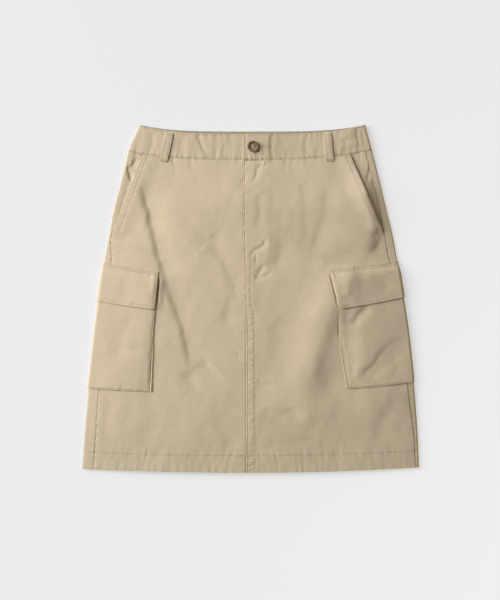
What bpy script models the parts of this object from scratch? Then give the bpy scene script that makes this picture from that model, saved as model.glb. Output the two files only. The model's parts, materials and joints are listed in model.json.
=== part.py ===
"""A cotton twill cargo skirt, laid flat on its back.

The waist points to +Y, the hem to -Y and the front faces up. The origin is on the surface that the
skirt lies on, under the middle of it. Left and right are those of someone looking down at the front.

The skirt is a flattened tube. A net of points covers each half of its front and of its back: cross
lines run round the skirt from the waist seam to the hem, and the net's columns run down it. Every
cloth piece is a patch of those nets, moved out where it lies on another piece, with a wall behind it.
All sizes are in millimetres, and the meshes are made in metres.
"""

import math
from typing import NamedTuple

import bmesh
import bpy
import numpy as np

MM = 0.001

# Cloth
TWILL = 1.1
BAND_CLOTH = 2.0
LOOP_CLOTH = 1.4
SEAM_GAP = 0.3
PLY = TWILL + SEAM_GAP
TRIM = SEAM_GAP / 2

# How the layers lie
FOLD_RADIUS = 2.6
BAND_FOLD_RADIUS = 3.6
LAID_HEIGHT = 4.2
LOWEST_FRONT = 2.7
BAND_LAID_HEIGHT = 5.0
FOLD_BLEND = 34.0
ARC_STEPS = 5
BACK_LOOP_ROOM = LOOP_CLOTH + SEAM_GAP

# The fly
LAP_EDGE = -10.4
UNDERLAP = 28.0
LAP_RISE = 1.7
BAND_LAP_RISE = 2.4
LAP_CLEAR = 4.0
LAP_SLOPE = 24.0

# The hip pockets
SLANT_RISE = 1.7
SLANT_CLEAR = 13.0
SLANT_SLOPE = 17.0
FACING_UNDER = 9.0

# The cargo pockets
GUSSET_SHOWS = 4.5
GUSSET_UNDER = 14.0
BACK_POCKET_CLEAR = 6.0
BACK_POCKET_SLOPE = 28.0
POCKET_TRIM = 1.2

# The belt loops and the button
LOOP_WIDTH = 12.0
LOOP_ARCH = 1.4
LOOP_STEPS = 6
BUTTON_PLACE = (4.3, 235.8)
BUTTON_SIDES = 28
MERGE = 0.001

# Columns of the nets
SETTLING_STEPS = 4
FIRST_GUESS = 0.9
BODY_COLUMNS = 9
POCKET_COLUMNS = 5
BACK_POCKET_COLUMNS = 4
BACK_BODY_COLUMNS = 6
BAND_FRONT_COLUMNS = 12
BAND_BACK_COLUMNS = 8
FACING_COLUMNS = 3
GUSSET_COLUMNS = 3
POCKET_RISE_COLUMNS = 2

KHAKI = (0.58, 0.48, 0.34)
SHADED_KHAKI = (0.50, 0.41, 0.28)
HORN = (0.20, 0.12, 0.06)

LEFT = -1
RIGHT = 1
SIDE_NAMES = {LEFT: "left", RIGHT: "right"}


class Level(NamedTuple):
    """One level down the skirt: how far out each side fold lies, and how far in from it the side seam is."""

    y: float
    left_fold: float
    left_seam: float
    right_fold: float
    right_seam: float


LEVELS = (
    Level(y=271, left_fold=171.5, left_seam=5.6, right_fold=178.0, right_seam=9.0),
    Level(y=228, left_fold=190.0, left_seam=5.6, right_fold=189.5, right_seam=11.0),
    Level(y=184, left_fold=200.5, left_seam=5.6, right_fold=200.5, right_seam=11.5),
    Level(y=137, left_fold=212.8, left_seam=5.4, right_fold=211.8, right_seam=11.2),
    Level(y=95, left_fold=220.5, left_seam=5.4, right_fold=221.8, right_seam=13.4),
    Level(y=60, left_fold=227.0, left_seam=12.0, right_fold=227.8, right_seam=12.8),
    Level(y=10, left_fold=234.0, left_seam=14.5, right_fold=236.0, right_seam=12.0),
    Level(y=-64, left_fold=243.5, left_seam=16.5, right_fold=247.0, right_seam=11.5),
    Level(y=-142, left_fold=252.0, left_seam=18.0, right_fold=255.0, right_seam=10.5),
    Level(y=-219, left_fold=258.4, left_seam=19.0, right_fold=260.4, right_seam=6.2),
    Level(y=-268, left_fold=262.0, left_seam=19.7, right_fold=262.2, right_seam=5.6),
)


class CrossLine(NamedTuple):
    """A line round the skirt: its height in the middle of each piece and at the folds, how much it bows,
    how far the cloth is held up by the belt loops and by the cargo pockets, and the steps to the next."""

    name: str
    left_middle: float
    left_fold: float
    right_middle: float
    right_fold: float
    back_middle: float
    bow: float
    loop_lift: float
    pocket_lift: float
    steps: int


WAIST_TOP = CrossLine("waist_top", 255.5, 270.2, 255.5, 270.2, 259.5, 4, BACK_LOOP_ROOM, 0, 2)
WAIST_SEAM = CrossLine("waist_seam", 215.0, 227.5, 215.0, 230.5, 218.0, 3, BACK_LOOP_ROOM, 0, 6)
CROSS_LINES = (
    WAIST_SEAM,
    CrossLine("slant_end", 78.0, 93.4, 84.0, 98.4, 81.0, 2, 0, 0, 1),
    CrossLine("fly_end", 56.5, 75.5, 60.0, 77.5, 58.5, 2, 0, 0, 1),
    CrossLine("flap_top", 32.4, 55.7, 39.2, 57.5, 36.0, 2, 0, PLY, 1),
    CrossLine("pocket_mouth", 20.4, 43.7, 27.2, 45.5, 24.0, 2, 0, 2 * PLY, 2),
    CrossLine("flap_bottom", -25.9, -3.9, -24.9, 1.7, -25.4, 2, 0, 2 * PLY, 6),
    CrossLine("pocket_bottom", -147.2, -139.3, -144.8, -130.0, -146.0, 2, 0, PLY, 6),
    CrossLine("hem", -270.1, -264.0, -270.1, -262.0, -266.0, 2, 0, 0, 0),
)


class SideShape(NamedTuple):
    """Where the hip slant and the cargo pocket lie on one side, as distances from the middle."""

    slant_top: float
    slant_top_y: float
    slant_end_y: float
    pocket_top: float
    pocket_top_y: float
    pocket_spread: float
    back_pocket: float


SIDE_SHAPES = {
    LEFT: SideShape(167.0, 224.0, 92.8, 141.0, 41.4, 0.0803, 70.0),
    RIGHT: SideShape(154.2, 226.0, 96.9, 124.0, 44.5, 0.1627, 64.0),
}


class Fold(NamedTuple):
    """A soft fold in the front, from one end to the other: a trough where its rise is below 0."""

    start_x: float
    start_y: float
    end_x: float
    end_y: float
    half_width: float
    rise: float


FOLDS = (
    Fold(start_x=-168, start_y=176, end_x=-134, end_y=44, half_width=17, rise=-1.5),
    Fold(start_x=-134, start_y=44, end_x=-97, end_y=-92, half_width=17, rise=-1.5),
    Fold(start_x=-76, start_y=-113, end_x=-106, end_y=-133, half_width=16, rise=-1.1),
    Fold(start_x=-93, start_y=100, end_x=-46, end_y=70, half_width=18, rise=-0.9),
    Fold(start_x=-46, start_y=70, end_x=-18, end_y=-10, half_width=18, rise=-0.9),
    Fold(start_x=31, start_y=173, end_x=29, end_y=104, half_width=14, rise=-0.9),
    Fold(start_x=76, start_y=187, end_x=85, end_y=76, half_width=15, rise=-1.1),
    Fold(start_x=119, start_y=173, end_x=86, end_y=70, half_width=15, rise=-1.0),
    Fold(start_x=136, start_y=-43, end_x=97, end_y=-111, half_width=26, rise=-1.3),
    Fold(start_x=97, start_y=-111, end_x=72, end_y=-178, half_width=26, rise=-1.3),
    Fold(start_x=10, start_y=-177, end_x=118, end_y=-160, half_width=22, rise=1.8),
    Fold(start_x=-225, start_y=150, end_x=-150, end_y=90, half_width=30, rise=1.2),
)


class Loop(NamedTuple):
    """A belt loop: its name, and where the middles of its top and bottom ends are."""

    name: str
    top_x: float
    top_y: float
    bottom_x: float
    bottom_y: float
    on_back: bool


LOOPS = (
    Loop("belt_loop_front_left", -124.3, 257.5, -135.0, 210.0, False),
    Loop("belt_loop_front_right", 119.4, 257.5, 124.4, 210.5, False),
    Loop("belt_loop_back_left", -92.0, 258.5, -95.0, 220.5, True),
    Loop("belt_loop_back_centre", 0.0, 258.5, 0.0, 220.5, True),
    Loop("belt_loop_back_right", 92.0, 258.5, 95.0, 220.5, True),
)


class RingPoint(NamedTuple):
    """A point of the button's turned outline: its radius, and its height over the band."""

    radius: float
    height: float


BUTTON_OUTLINE = (
    RingPoint(radius=0.0, height=0.0),
    RingPoint(radius=7.6, height=0.0),
    RingPoint(radius=8.75, height=0.9),
    RingPoint(radius=8.75, height=2.2),
    RingPoint(radius=7.9, height=3.0),
    RingPoint(radius=6.6, height=2.9),
    RingPoint(radius=5.4, height=1.9),
    RingPoint(radius=0.0, height=1.9),
)


def smooth_step(low, high, value):
    """0 at or below low, 1 at or above high, and a soft curve between them."""
    share = min(1.0, max(0.0, (value - low) / (high - low)))
    return share * share * (3 - 2 * share)


def level_value(column, y):
    """A column of LEVELS at the height y, on a smooth curve through its rows that never overshoots."""
    heights = [level.y for level in LEVELS]
    values = [getattr(level, column) for level in LEVELS]
    y = min(heights[0], max(heights[-1], y))
    place = next(i for i in range(len(heights) - 1) if y >= heights[i + 1])
    slopes = [(values[i + 1] - values[i]) / (heights[i + 1] - heights[i]) for i in range(len(heights) - 1)]

    def tangent(row):
        before = slopes[max(0, row - 1)]
        after = slopes[min(len(slopes) - 1, row)]
        return 0.0 if before * after <= 0 else 2 * before * after / (before + after)

    span = heights[place + 1] - heights[place]
    share = (y - heights[place]) / span
    first = values[place] * (1 + 2 * share) * (1 - share) ** 2
    last = values[place + 1] * (3 - 2 * share) * share**2
    lean = tangent(place) * share * (1 - share) ** 2 - tangent(place + 1) * (1 - share) * share**2
    return first + last + span * lean


def fold_line(side, y):
    """How far from the middle the side fold is at the height y."""
    return level_value(SIDE_NAMES[side] + "_fold", y)


def seam_inset(side, y):
    """How far in from the fold line the side seam is, measured over the cloth."""
    return level_value(SIDE_NAMES[side] + "_seam", y)


def rows_between(lines):
    """Every row of a net, as (upper line, lower line, share of the way down) for each."""
    rows = []
    for upper, lower in zip(lines, lines[1:]):
        rows += [(upper, lower, step / upper.steps) for step in range(upper.steps)]
    return rows + [(lines[-2], lines[-1], 1.0)]


ROWS = rows_between(CROSS_LINES)
BAND_ROWS = rows_between((WAIST_TOP, WAIST_SEAM))


def row_number(name):
    """The row of the nets that lies on a named cross line."""
    number = 0
    for line in CROSS_LINES:
        if line.name == name:
            return number
        number += line.steps
    raise ValueError(name)


SLANT_END_ROW = row_number("slant_end")
FLY_END_ROW = row_number("fly_end")
FLAP_TOP_ROW = row_number("flap_top")
MOUTH_ROW = row_number("pocket_mouth")
FLAP_BOTTOM_ROW = row_number("flap_bottom")
POCKET_BOTTOM_ROW = row_number("pocket_bottom")


def line_height(line, side, distance, on_back):
    """The height y of a cross line at a distance from the middle of the skirt."""
    at_fold = line.left_fold if side == LEFT else line.right_fold
    middle = line.left_middle if side == LEFT else line.right_middle
    if on_back:
        middle = line.back_middle
    share = min(1.0, max(0.0, distance) / fold_line(side, at_fold))
    return middle + (at_fold - middle) * share**line.bow


def row_height(row, side, distance, on_back=False):
    """The height y of a net's row at a distance from the middle of the skirt."""
    upper, lower, share = row
    above = line_height(upper, side, distance, on_back)
    below = line_height(lower, side, distance, on_back)
    return above + (below - above) * share


def row_value(row, column):
    """A column of the cross lines at a row."""
    upper, lower, share = row
    return getattr(upper, column) * (1 - share) + getattr(lower, column) * share


def lift(row, side, distance, y):
    """How far the cloth is held off the surface, by the back belt loops and the wrapped cargo pockets."""
    inset = fold_line(side, y) - distance
    edge = SIDE_SHAPES[side].back_pocket + BACK_POCKET_CLEAR
    near_side = 1 - smooth_step(edge, edge + BACK_POCKET_SLOPE, inset)
    return row_value(row, "loop_lift") + row_value(row, "pocket_lift") * near_side


def fold_rise(x, y):
    """What the folds add to the front's height at a place."""
    total = 0.0
    for fold in FOLDS:
        run = np.array((fold.end_x - fold.start_x, fold.end_y - fold.start_y))
        offset = np.array((x - fold.start_x, y - fold.start_y))
        share = float(offset @ run) / float(run @ run)
        nearest = min(1.0, max(0.0, share)) * run
        distance = float(np.linalg.norm(offset - nearest))
        total += fold.rise * math.exp(-((distance / fold.half_width) ** 2))
    return total


def height_over(row, side, distance, y, radius, level):
    """The height z of the front's outer face: round at the side folds, and at a level between them."""
    inset = fold_line(side, y) - distance
    flatness = smooth_step(0, FOLD_BLEND, inset - radius)
    return lift(row, side, distance, y) + 2 * radius * (1 - flatness) + level * flatness


def front_height(row, side, distance, y):
    """The height z of a front panel's outer face, with its folds."""
    level = max(LOWEST_FRONT, LAID_HEIGHT + fold_rise(side * distance, y))
    return height_over(row, side, distance, y, FOLD_RADIUS, level)


def place_on_row(row, side, distance_at, on_back=False):
    """Settles a net point whose distance from the middle depends on its own height."""
    y = row_height(row, side, FIRST_GUESS * fold_line(side, row_value(row, "left_fold")), on_back)
    for _ in range(SETTLING_STEPS):
        distance = distance_at(y)
        y = row_height(row, side, distance, on_back)
    return distance, y


def front_edge(side, row_index, y):
    """The outer edge of a front panel: the hip pocket's slant, and the side seam below it."""
    shape = SIDE_SHAPES[side]
    if row_index <= SLANT_END_ROW:
        share = (shape.slant_top_y - y) / (shape.slant_top_y - shape.slant_end_y)
        return shape.slant_top + (seam_distance(side, shape.slant_end_y) - shape.slant_top) * share
    return seam_distance(side, y)


def seam_distance(side, y):
    """How far from the middle the side seam is, seen from above."""
    arc_excess = FOLD_RADIUS * (math.pi / 2 - 1)
    return fold_line(side, y) - (seam_inset(side, y) - arc_excess)


def inner_edge(side, row_index):
    """The edge of a front panel at the fly, as a distance outwards: the left one laps under the right one."""
    if side == RIGHT:
        return LAP_EDGE
    if row_index < FLY_END_ROW:
        return -(LAP_EDGE + UNDERLAP)
    return -(LAP_EDGE - SEAM_GAP)


def pocket_line(side, y):
    """How far from the middle the cargo pocket's inner edge is."""
    shape = SIDE_SHAPES[side]
    return shape.pocket_top + shape.pocket_spread * (shape.pocket_top_y - y)


def panel_rise(side, row_index, distance, y):
    """How far a front panel is raised where the hip facing or the other front's underlap is beneath it."""
    rise = 0.0
    if row_index <= SLANT_END_ROW:
        inside = front_edge(side, row_index, y) - distance
        rise = SLANT_RISE * (1 - smooth_step(SLANT_CLEAR, SLANT_CLEAR + SLANT_SLOPE, inside))
    if side == RIGHT and row_index <= FLY_END_ROW:
        clear = LAP_EDGE + UNDERLAP + LAP_CLEAR
        rise = max(rise, LAP_RISE * (1 - smooth_step(clear, clear + LAP_SLOPE, distance)))
    return rise


def front_net(side):
    """The net of one half of the front, from the fly to the slant and the side seam."""
    net = []
    for index, row in enumerate(ROWS):
        points = []
        for column in range(BODY_COLUMNS + POCKET_COLUMNS + 1):

            def distance_at(y, column=column):
                inner = inner_edge(side, index)
                middle = pocket_line(side, y)
                if column <= BODY_COLUMNS:
                    return inner + (middle - inner) * column / BODY_COLUMNS
                share = (column - BODY_COLUMNS) / POCKET_COLUMNS
                return middle + (front_edge(side, index, y) - middle) * share

            distance, y = place_on_row(row, side, distance_at)
            z = front_height(row, side, distance, y) + panel_rise(side, index, distance, y)
            points.append((side * distance, y, z))
        net.append(points)
    return np.array(net)


def round_the_fold(row, side, radius):
    """The points of one row round the side fold, from its top to its underside."""
    points = []
    for step in range(ARC_STEPS + 1):
        angle = math.pi / 2 - math.pi * step / ARC_STEPS
        distance, y = place_on_row(
            row,
            side,
            lambda y: fold_line(side, y) - radius * (1 - math.cos(angle)),
            on_back=angle < 0,
        )
        z = lift(row, side, distance, y) + radius * (1 + math.sin(angle))
        points.append((side * distance, y, z))
    return points


def back_net(side):
    """The net of one half of the back, from the side seam round the fold to the centre back seam."""
    net = []
    for row in ROWS:
        distance, y = place_on_row(row, side, lambda y: seam_distance(side, y))
        points = [(side * distance, y, front_height(row, side, distance, y))]
        points += round_the_fold(row, side, FOLD_RADIUS)
        pocket_depth = SIDE_SHAPES[side].back_pocket
        stops = [(step / BACK_POCKET_COLUMNS, 0.0) for step in range(1, BACK_POCKET_COLUMNS + 1)]
        stops += [(1.0, step / BACK_BODY_COLUMNS) for step in range(1, BACK_BODY_COLUMNS + 1)]
        for to_pocket, to_middle in stops:

            def distance_at(y, to_pocket=to_pocket, to_middle=to_middle):
                fold_end = fold_line(side, y) - FOLD_RADIUS
                pocket_end = fold_line(side, y) - pocket_depth
                return (fold_end + (pocket_end - fold_end) * to_pocket) * (1 - to_middle)

            distance, y = place_on_row(row, side, distance_at, on_back=True)
            points.append((side * distance, y, lift(row, side, distance, y)))
        net.append(points)
    return np.array(net)


def band_height(side, row, distance, y):
    """The height z of the waistband's outer face on the front."""
    z = height_over(row, side, distance, y, BAND_FOLD_RADIUS, BAND_LAID_HEIGHT)
    if side == RIGHT:
        clear = LAP_EDGE + UNDERLAP + LAP_CLEAR
        z += BAND_LAP_RISE * (1 - smooth_step(clear, clear + LAP_SLOPE, distance))
    return z


def band_net(side):
    """The net of one half of the waistband, from the fly round the fold to the centre back."""
    net = []
    for row in BAND_ROWS:
        points = []
        inner = LAP_EDGE if side == RIGHT else -(LAP_EDGE + UNDERLAP)
        for column in range(BAND_FRONT_COLUMNS):
            share = column / BAND_FRONT_COLUMNS
            distance, y = place_on_row(
                row,
                side,
                lambda y: inner + (fold_line(side, y) - BAND_FOLD_RADIUS - inner) * share,
            )
            points.append((side * distance, y, band_height(side, row, distance, y)))
        points += round_the_fold(row, side, BAND_FOLD_RADIUS)
        for column in range(1, BAND_BACK_COLUMNS + 1):
            share = column / BAND_BACK_COLUMNS
            distance, y = place_on_row(
                row,
                side,
                lambda y: (fold_line(side, y) - BAND_FOLD_RADIUS) * (1 - share),
                on_back=True,
            )
            points.append((side * distance, y, lift(row, side, distance, y)))
        net.append(points)
    return np.array(net)


def facing_net(side):
    """The net of a hip facing, from under the slanted edge to the side seam."""
    net = []
    for index, row in enumerate(ROWS[: SLANT_END_ROW + 1]):
        points = []
        for column in range(FACING_COLUMNS + 1):

            def distance_at(y, column=column):
                inner = front_edge(side, index, y) - FACING_UNDER
                return inner + (seam_distance(side, y) - inner) * column / FACING_COLUMNS

            distance, y = place_on_row(row, side, distance_at)
            points.append((side * distance, y, front_height(row, side, distance, y)))
        net.append(points)
    return np.array(net)


def outward(net, side):
    """The direction straight out of the cloth at each point of a net."""
    across = np.gradient(net, axis=1)
    down = np.gradient(net, axis=0)
    normal = -side * np.cross(across, down)
    return normal / np.linalg.norm(normal, axis=2, keepdims=True)


def moved_out(net, side, distance):
    """A net moved out by a distance, which is one number or one for each column."""
    distances = np.broadcast_to(distance, net.shape[:2])[..., None]
    moved = net + outward(net, side) * distances
    moved[..., 2] = np.maximum(moved[..., 2], 0.0)
    return moved


def trimmed(net, top=0.0, bottom=0.0, first=0.0, last=0.0):
    """A net with its border drawn in, each edge by its own distance."""
    cut = net.copy()
    for edge, beside, distance in ((0, 1, top), (-1, -2, bottom)):
        way = cut[beside] - cut[edge]
        cut[edge] = cut[edge] + way * distance / np.linalg.norm(way, axis=1, keepdims=True)
    for edge, beside, distance in ((0, 1, first), (-1, -2, last)):
        way = cut[:, beside] - cut[:, edge]
        cut[:, edge] = cut[:, edge] + way * distance / np.linalg.norm(way, axis=1, keepdims=True)
    return cut


def beside_column(net, column, distances):
    """A net of points that lie on another net's rows, at distances along them from one of its columns."""
    found = []
    for row in net:
        lengths = np.concatenate(([0.0], np.cumsum(np.linalg.norm(np.diff(row, axis=0), axis=1))))
        along = lengths[column] + np.array(distances)
        found.append(np.stack([np.interp(along, lengths, row[:, axis]) for axis in range(3)], axis=1))
    return np.array(found)


def material(name, colour, roughness):
    """A plain material with the colour and roughness of a piece."""
    made = bpy.data.materials.new(name)
    made.use_nodes = True
    shader = made.node_tree.nodes["Principled BSDF"]
    shader.inputs["Base Color"].default_value = (*colour, 1.0)
    shader.inputs["Roughness"].default_value = roughness
    shader.inputs["Metallic"].default_value = 0.0
    made.diffuse_color = (*colour, 1.0)
    return made


def linked(name, shape, colour, roughness):
    """Makes an object of a finished bmesh and gives it its own material."""
    mesh = bpy.data.meshes.new(name)
    shape.to_mesh(mesh)
    shape.free()
    piece = bpy.data.objects.new(name, mesh)
    piece.data.materials.append(material(name, colour, roughness))
    bpy.context.scene.collection.objects.link(piece)
    return piece


def cloth(name, net, side, thickness=TWILL, colour=KHAKI):
    """A cloth piece: a grid on a net's points, with a wall of that thickness behind it."""
    rows, columns = net.shape[:2]
    shape = bmesh.new()
    bmesh.ops.create_grid(shape, x_segments=columns - 1, y_segments=rows - 1, size=1.0)
    for vertex in shape.verts:
        column = round((vertex.co.x + 1) / 2 * (columns - 1))
        row = round((1 - vertex.co.y) / 2 * (rows - 1))
        vertex.co = net[row, column] * MM
    if side == LEFT:
        bmesh.ops.reverse_faces(shape, faces=shape.faces)
    piece = linked(name, shape, colour, roughness=0.85)
    piece.data.shade_smooth()
    wall = piece.modifiers.new("wall", "SOLIDIFY")
    wall.thickness = thickness * MM
    wall.offset = -1.0
    wall.use_even_offset = True
    wall.use_quality_normals = True
    return piece


def build_cargo_pocket(side, net):
    """The pocket, its flap and its gusset. They lie on the panels, round the side fold."""
    name = SIDE_NAMES[side]
    before_seam = POCKET_COLUMNS - np.arange(net.shape[1])
    on_front = np.clip(before_seam / POCKET_RISE_COLUMNS, 0, 1)
    body_out = PLY * (1 + on_front)
    body = moved_out(net, side, body_out)[MOUTH_ROW - FLAP_TOP_ROW :]
    cloth(f"cargo_pocket_{name}", trimmed(body, first=POCKET_TRIM, last=POCKET_TRIM), side)

    flap_rows = FLAP_BOTTOM_ROW - FLAP_TOP_ROW + 1
    flap_out = np.tile(body_out + PLY, (net.shape[0], 1))
    flap_out[0] = PLY
    cloth(f"cargo_flap_{name}", moved_out(net, side, flap_out)[:flap_rows], side)


def build_gusset(side, panel):
    """The folded strip that shows beside the cargo pocket's inner edge."""
    rows = panel[FLAP_BOTTOM_ROW - 1 : POCKET_BOTTOM_ROW + 1]
    distances = np.linspace(-GUSSET_SHOWS, GUSSET_UNDER, GUSSET_COLUMNS + 1)
    strip = beside_column(rows, BODY_COLUMNS, distances)
    strip = moved_out(strip, side, PLY)
    cloth(f"cargo_gusset_{SIDE_NAMES[side]}", trimmed(strip, bottom=POCKET_TRIM), side, colour=SHADED_KHAKI)


def build_side(side):
    """Every cloth piece of one half of the skirt."""
    name = SIDE_NAMES[side]
    front = front_net(side)
    back = back_net(side)
    cloth(f"front_{name}", trimmed(front, top=TRIM, last=TRIM), side)
    cloth(f"back_{name}", trimmed(back, top=TRIM, first=TRIM, last=TRIM), side)
    cloth(f"hip_facing_{name}", trimmed(facing_net(side), top=TRIM, last=TRIM), side, colour=SHADED_KHAKI)

    band = trimmed(band_net(side), bottom=TRIM, last=TRIM)
    cloth(f"waistband_{name}", band, side, thickness=BAND_CLOTH)

    pocket_rows = slice(FLAP_TOP_ROW, POCKET_BOTTOM_ROW + 1)
    back_columns = 1 + ARC_STEPS + 1 + BACK_POCKET_COLUMNS
    joined = (front[pocket_rows, BODY_COLUMNS:], back[pocket_rows, 1:back_columns])
    build_cargo_pocket(side, np.concatenate(joined, axis=1))
    build_gusset(side, front)


def build_loop(loop):
    """A belt loop: a narrow strip on the waistband, arched a little on the front and flat under the back."""
    side = LEFT if loop.top_x < 0 else RIGHT
    net = []
    for step in range(LOOP_STEPS + 1):
        share = step / LOOP_STEPS
        x = loop.top_x + (loop.bottom_x - loop.top_x) * share
        y = loop.top_y + (loop.bottom_y - loop.top_y) * share
        z = 0.0
        if not loop.on_back:
            band_face = band_height(side, BAND_ROWS[0], abs(x), WAIST_SEAM.left_fold)
            z = band_face + SEAM_GAP + LOOP_CLOTH + LOOP_ARCH * math.sin(math.pi * share)
        net.append([(x + part * LOOP_WIDTH / 2, y, z) for part in (-1, 0, 1)])
    outer_side = LEFT if loop.on_back else RIGHT
    cloth(loop.name, np.array(net), outer_side, LOOP_CLOTH)


def build_button():
    """The waist button, turned about its middle, just over the waistband's lap."""
    x, y = BUTTON_PLACE
    rest = band_height(RIGHT, BAND_ROWS[1], x, y) + SEAM_GAP
    shape = bmesh.new()
    outline = []
    for point in BUTTON_OUTLINE:
        outline.append(shape.verts.new(((x + point.radius) * MM, y * MM, (rest + point.height) * MM)))
    edges = [shape.edges.new(pair) for pair in zip(outline, outline[1:])]
    bmesh.ops.spin(
        shape,
        geom=outline + edges,
        cent=(x * MM, y * MM, 0),
        axis=(0, 0, 1),
        angle=math.tau,
        steps=BUTTON_SIDES,
    )
    bmesh.ops.remove_doubles(shape, verts=shape.verts, dist=MERGE * MM)
    bmesh.ops.recalc_face_normals(shape, faces=shape.faces)
    return linked("waist_button", shape, HORN, roughness=0.4)


def main():
    """Empties the scene and builds the skirt."""
    for existing in list(bpy.data.objects):
        bpy.data.objects.remove(existing)
    for side in (LEFT, RIGHT):
        build_side(side)
    for loop in LOOPS:
        build_loop(loop)
    build_button()


main()
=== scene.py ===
"""The looks of a cotton twill cargo skirt that lies flat on its back, front up and waist to +Y.

A net of points covers the flattened tube of each solid, seams draw it in, listed creases bend it,
and a wall is given to it from behind.
Shapes are worked out in millimetres; meshes, lights and the camera are in metres.
"""

import itertools
import json
import logging
import math
from collections.abc import Callable
from dataclasses import dataclass, field
from enum import Enum
from typing import NamedTuple

import bmesh
import bpy
import numpy as np
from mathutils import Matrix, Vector

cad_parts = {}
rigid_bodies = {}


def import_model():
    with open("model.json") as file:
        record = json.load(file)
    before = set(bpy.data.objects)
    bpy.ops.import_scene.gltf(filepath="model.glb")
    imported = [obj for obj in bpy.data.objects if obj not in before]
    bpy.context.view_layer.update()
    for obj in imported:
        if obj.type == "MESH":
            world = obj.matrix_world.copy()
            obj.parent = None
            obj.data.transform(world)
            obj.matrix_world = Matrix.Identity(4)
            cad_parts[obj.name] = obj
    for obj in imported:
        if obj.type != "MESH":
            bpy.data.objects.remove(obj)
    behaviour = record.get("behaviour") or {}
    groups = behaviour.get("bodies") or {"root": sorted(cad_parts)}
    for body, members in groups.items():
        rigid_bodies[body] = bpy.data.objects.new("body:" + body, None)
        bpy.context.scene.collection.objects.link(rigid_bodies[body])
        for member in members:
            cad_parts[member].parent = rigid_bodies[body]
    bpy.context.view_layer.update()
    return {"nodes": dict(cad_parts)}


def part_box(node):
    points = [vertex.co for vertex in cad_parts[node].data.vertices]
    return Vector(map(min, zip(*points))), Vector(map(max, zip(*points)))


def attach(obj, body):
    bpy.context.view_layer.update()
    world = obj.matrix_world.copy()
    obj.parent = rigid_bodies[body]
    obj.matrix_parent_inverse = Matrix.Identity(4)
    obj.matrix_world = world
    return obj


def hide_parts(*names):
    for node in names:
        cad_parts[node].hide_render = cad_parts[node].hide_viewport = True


Array = np.ndarray
Object = bpy.types.Object
Material = bpy.types.Material
Socket = bpy.types.NodeSocket

MM = 0.001

# The walls of the cloth, what a ply or a loop of the solids takes up, and the gap at seams.
SOLID_PLY = 1.4
SOLID_LOOP_LIFT = 1.7
TWILL = 0.75
TURNED_TWILL = 0.95
BAND_CLOTH = 1.8
LOOP_CLOTH = 1.1
PLY = 0.85
TRIM = 0.04

# The right front's edge at the fly, how far the left front goes on under it, and the hem's depth.
LAP_EDGE = -10.4
UNDERLAP = 28.0
SEAM_LAP = 8.0
HEM_DEPTH = 26.3


class Side(Enum):
    """A half of the skirt, with the sign of x there."""

    LEFT = -1
    RIGHT = 1

    @property
    def word(self) -> str:
        """How the half is called in the names of nodes."""
        return self.name.lower()


class Edge(Enum):
    """An edge of a net: its top or bottom row, or its first or last column."""

    TOP = "top"
    BOTTOM = "bottom"
    FIRST = "first"
    LAST = "last"


ALONG = {Edge.TOP: Edge.FIRST, Edge.BOTTOM: Edge.FIRST, Edge.FIRST: Edge.TOP, Edge.LAST: Edge.TOP}


class Level(NamedTuple):
    """At a height, how far out each side fold is, and how far in over the cloth its side seam is."""

    y: float
    left_fold: float
    left_seam: float
    right_fold: float
    right_seam: float


LEVELS = (
    Level(271, 171.5, 5.6, 178.0, 9.0),
    Level(228, 190.0, 5.6, 189.5, 11.0),
    Level(184, 200.5, 5.6, 200.5, 11.5),
    Level(137, 212.8, 5.4, 211.8, 11.2),
    Level(95, 220.5, 5.4, 221.8, 13.4),
    Level(60, 227.0, 12.0, 227.8, 12.8),
    Level(10, 234.0, 14.5, 236.0, 12.0),
    Level(-64, 243.5, 16.5, 247.0, 11.5),
    Level(-142, 252.0, 18.0, 255.0, 10.5),
    Level(-219, 258.4, 19.0, 260.4, 6.2),
    Level(-268, 262.0, 19.7, 262.2, 5.6),
)


class CrossLine(NamedTuple):
    """A line round the skirt: its heights in the middle and at the folds, how much it bows, and how far
    the belt loops and the wrapped pockets under the back hold the cloth up along it."""

    name: str
    left_middle: float
    left_fold: float
    right_middle: float
    right_fold: float
    back_middle: float
    bow: float
    loop_lift: float
    pocket_lift: float


CROSS_LINES = (
    CrossLine("waist_top", 255.5, 270.2, 255.5, 270.2, 259.5, 4, SOLID_LOOP_LIFT, 0),
    CrossLine("waist_seam", 215.0, 227.5, 215.0, 230.5, 218.0, 3, SOLID_LOOP_LIFT, 0),
    CrossLine("slant_end", 78.0, 93.4, 84.0, 98.4, 81.0, 2, 0, 0),
    CrossLine("fly_end", 56.5, 75.5, 60.0, 77.5, 58.5, 2, 0, 0),
    CrossLine("flap_top", 32.4, 55.7, 39.2, 57.5, 36.0, 2, 0, SOLID_PLY),
    CrossLine("pocket_mouth", 20.4, 43.7, 27.2, 45.5, 24.0, 2, 0, 2 * SOLID_PLY),
    CrossLine("flap_bottom", -25.9, -3.9, -24.9, 1.7, -25.4, 2, 0, 2 * SOLID_PLY),
    CrossLine("pocket_bottom", -147.2, -139.3, -144.8, -130.0, -146.0, 2, 0, SOLID_PLY),
    CrossLine("hem", -270.1, -264.0, -270.1, -262.0, -266.0, 2, 0, 0),
)
LINE_NAMES = tuple(line.name for line in CROSS_LINES)


def line_column(name: str) -> Array:
    """One column of the cross lines, from the waist to the hem."""
    return np.array([getattr(line, name) for line in CROSS_LINES])


class SlantShape(NamedTuple):
    """The hip pocket's slanted edge: how far out and how high it starts, and how high it ends."""

    top: float
    top_y: float
    end_y: float


SLANTS = {Side.LEFT: SlantShape(167.0, 224.0, 92.8), Side.RIGHT: SlantShape(154.2, 226.0, 96.9)}


class EdgePoint(NamedTuple):
    """How far from the middle a pocket's inner edge is at a height."""

    y: float
    distance: float


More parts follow.
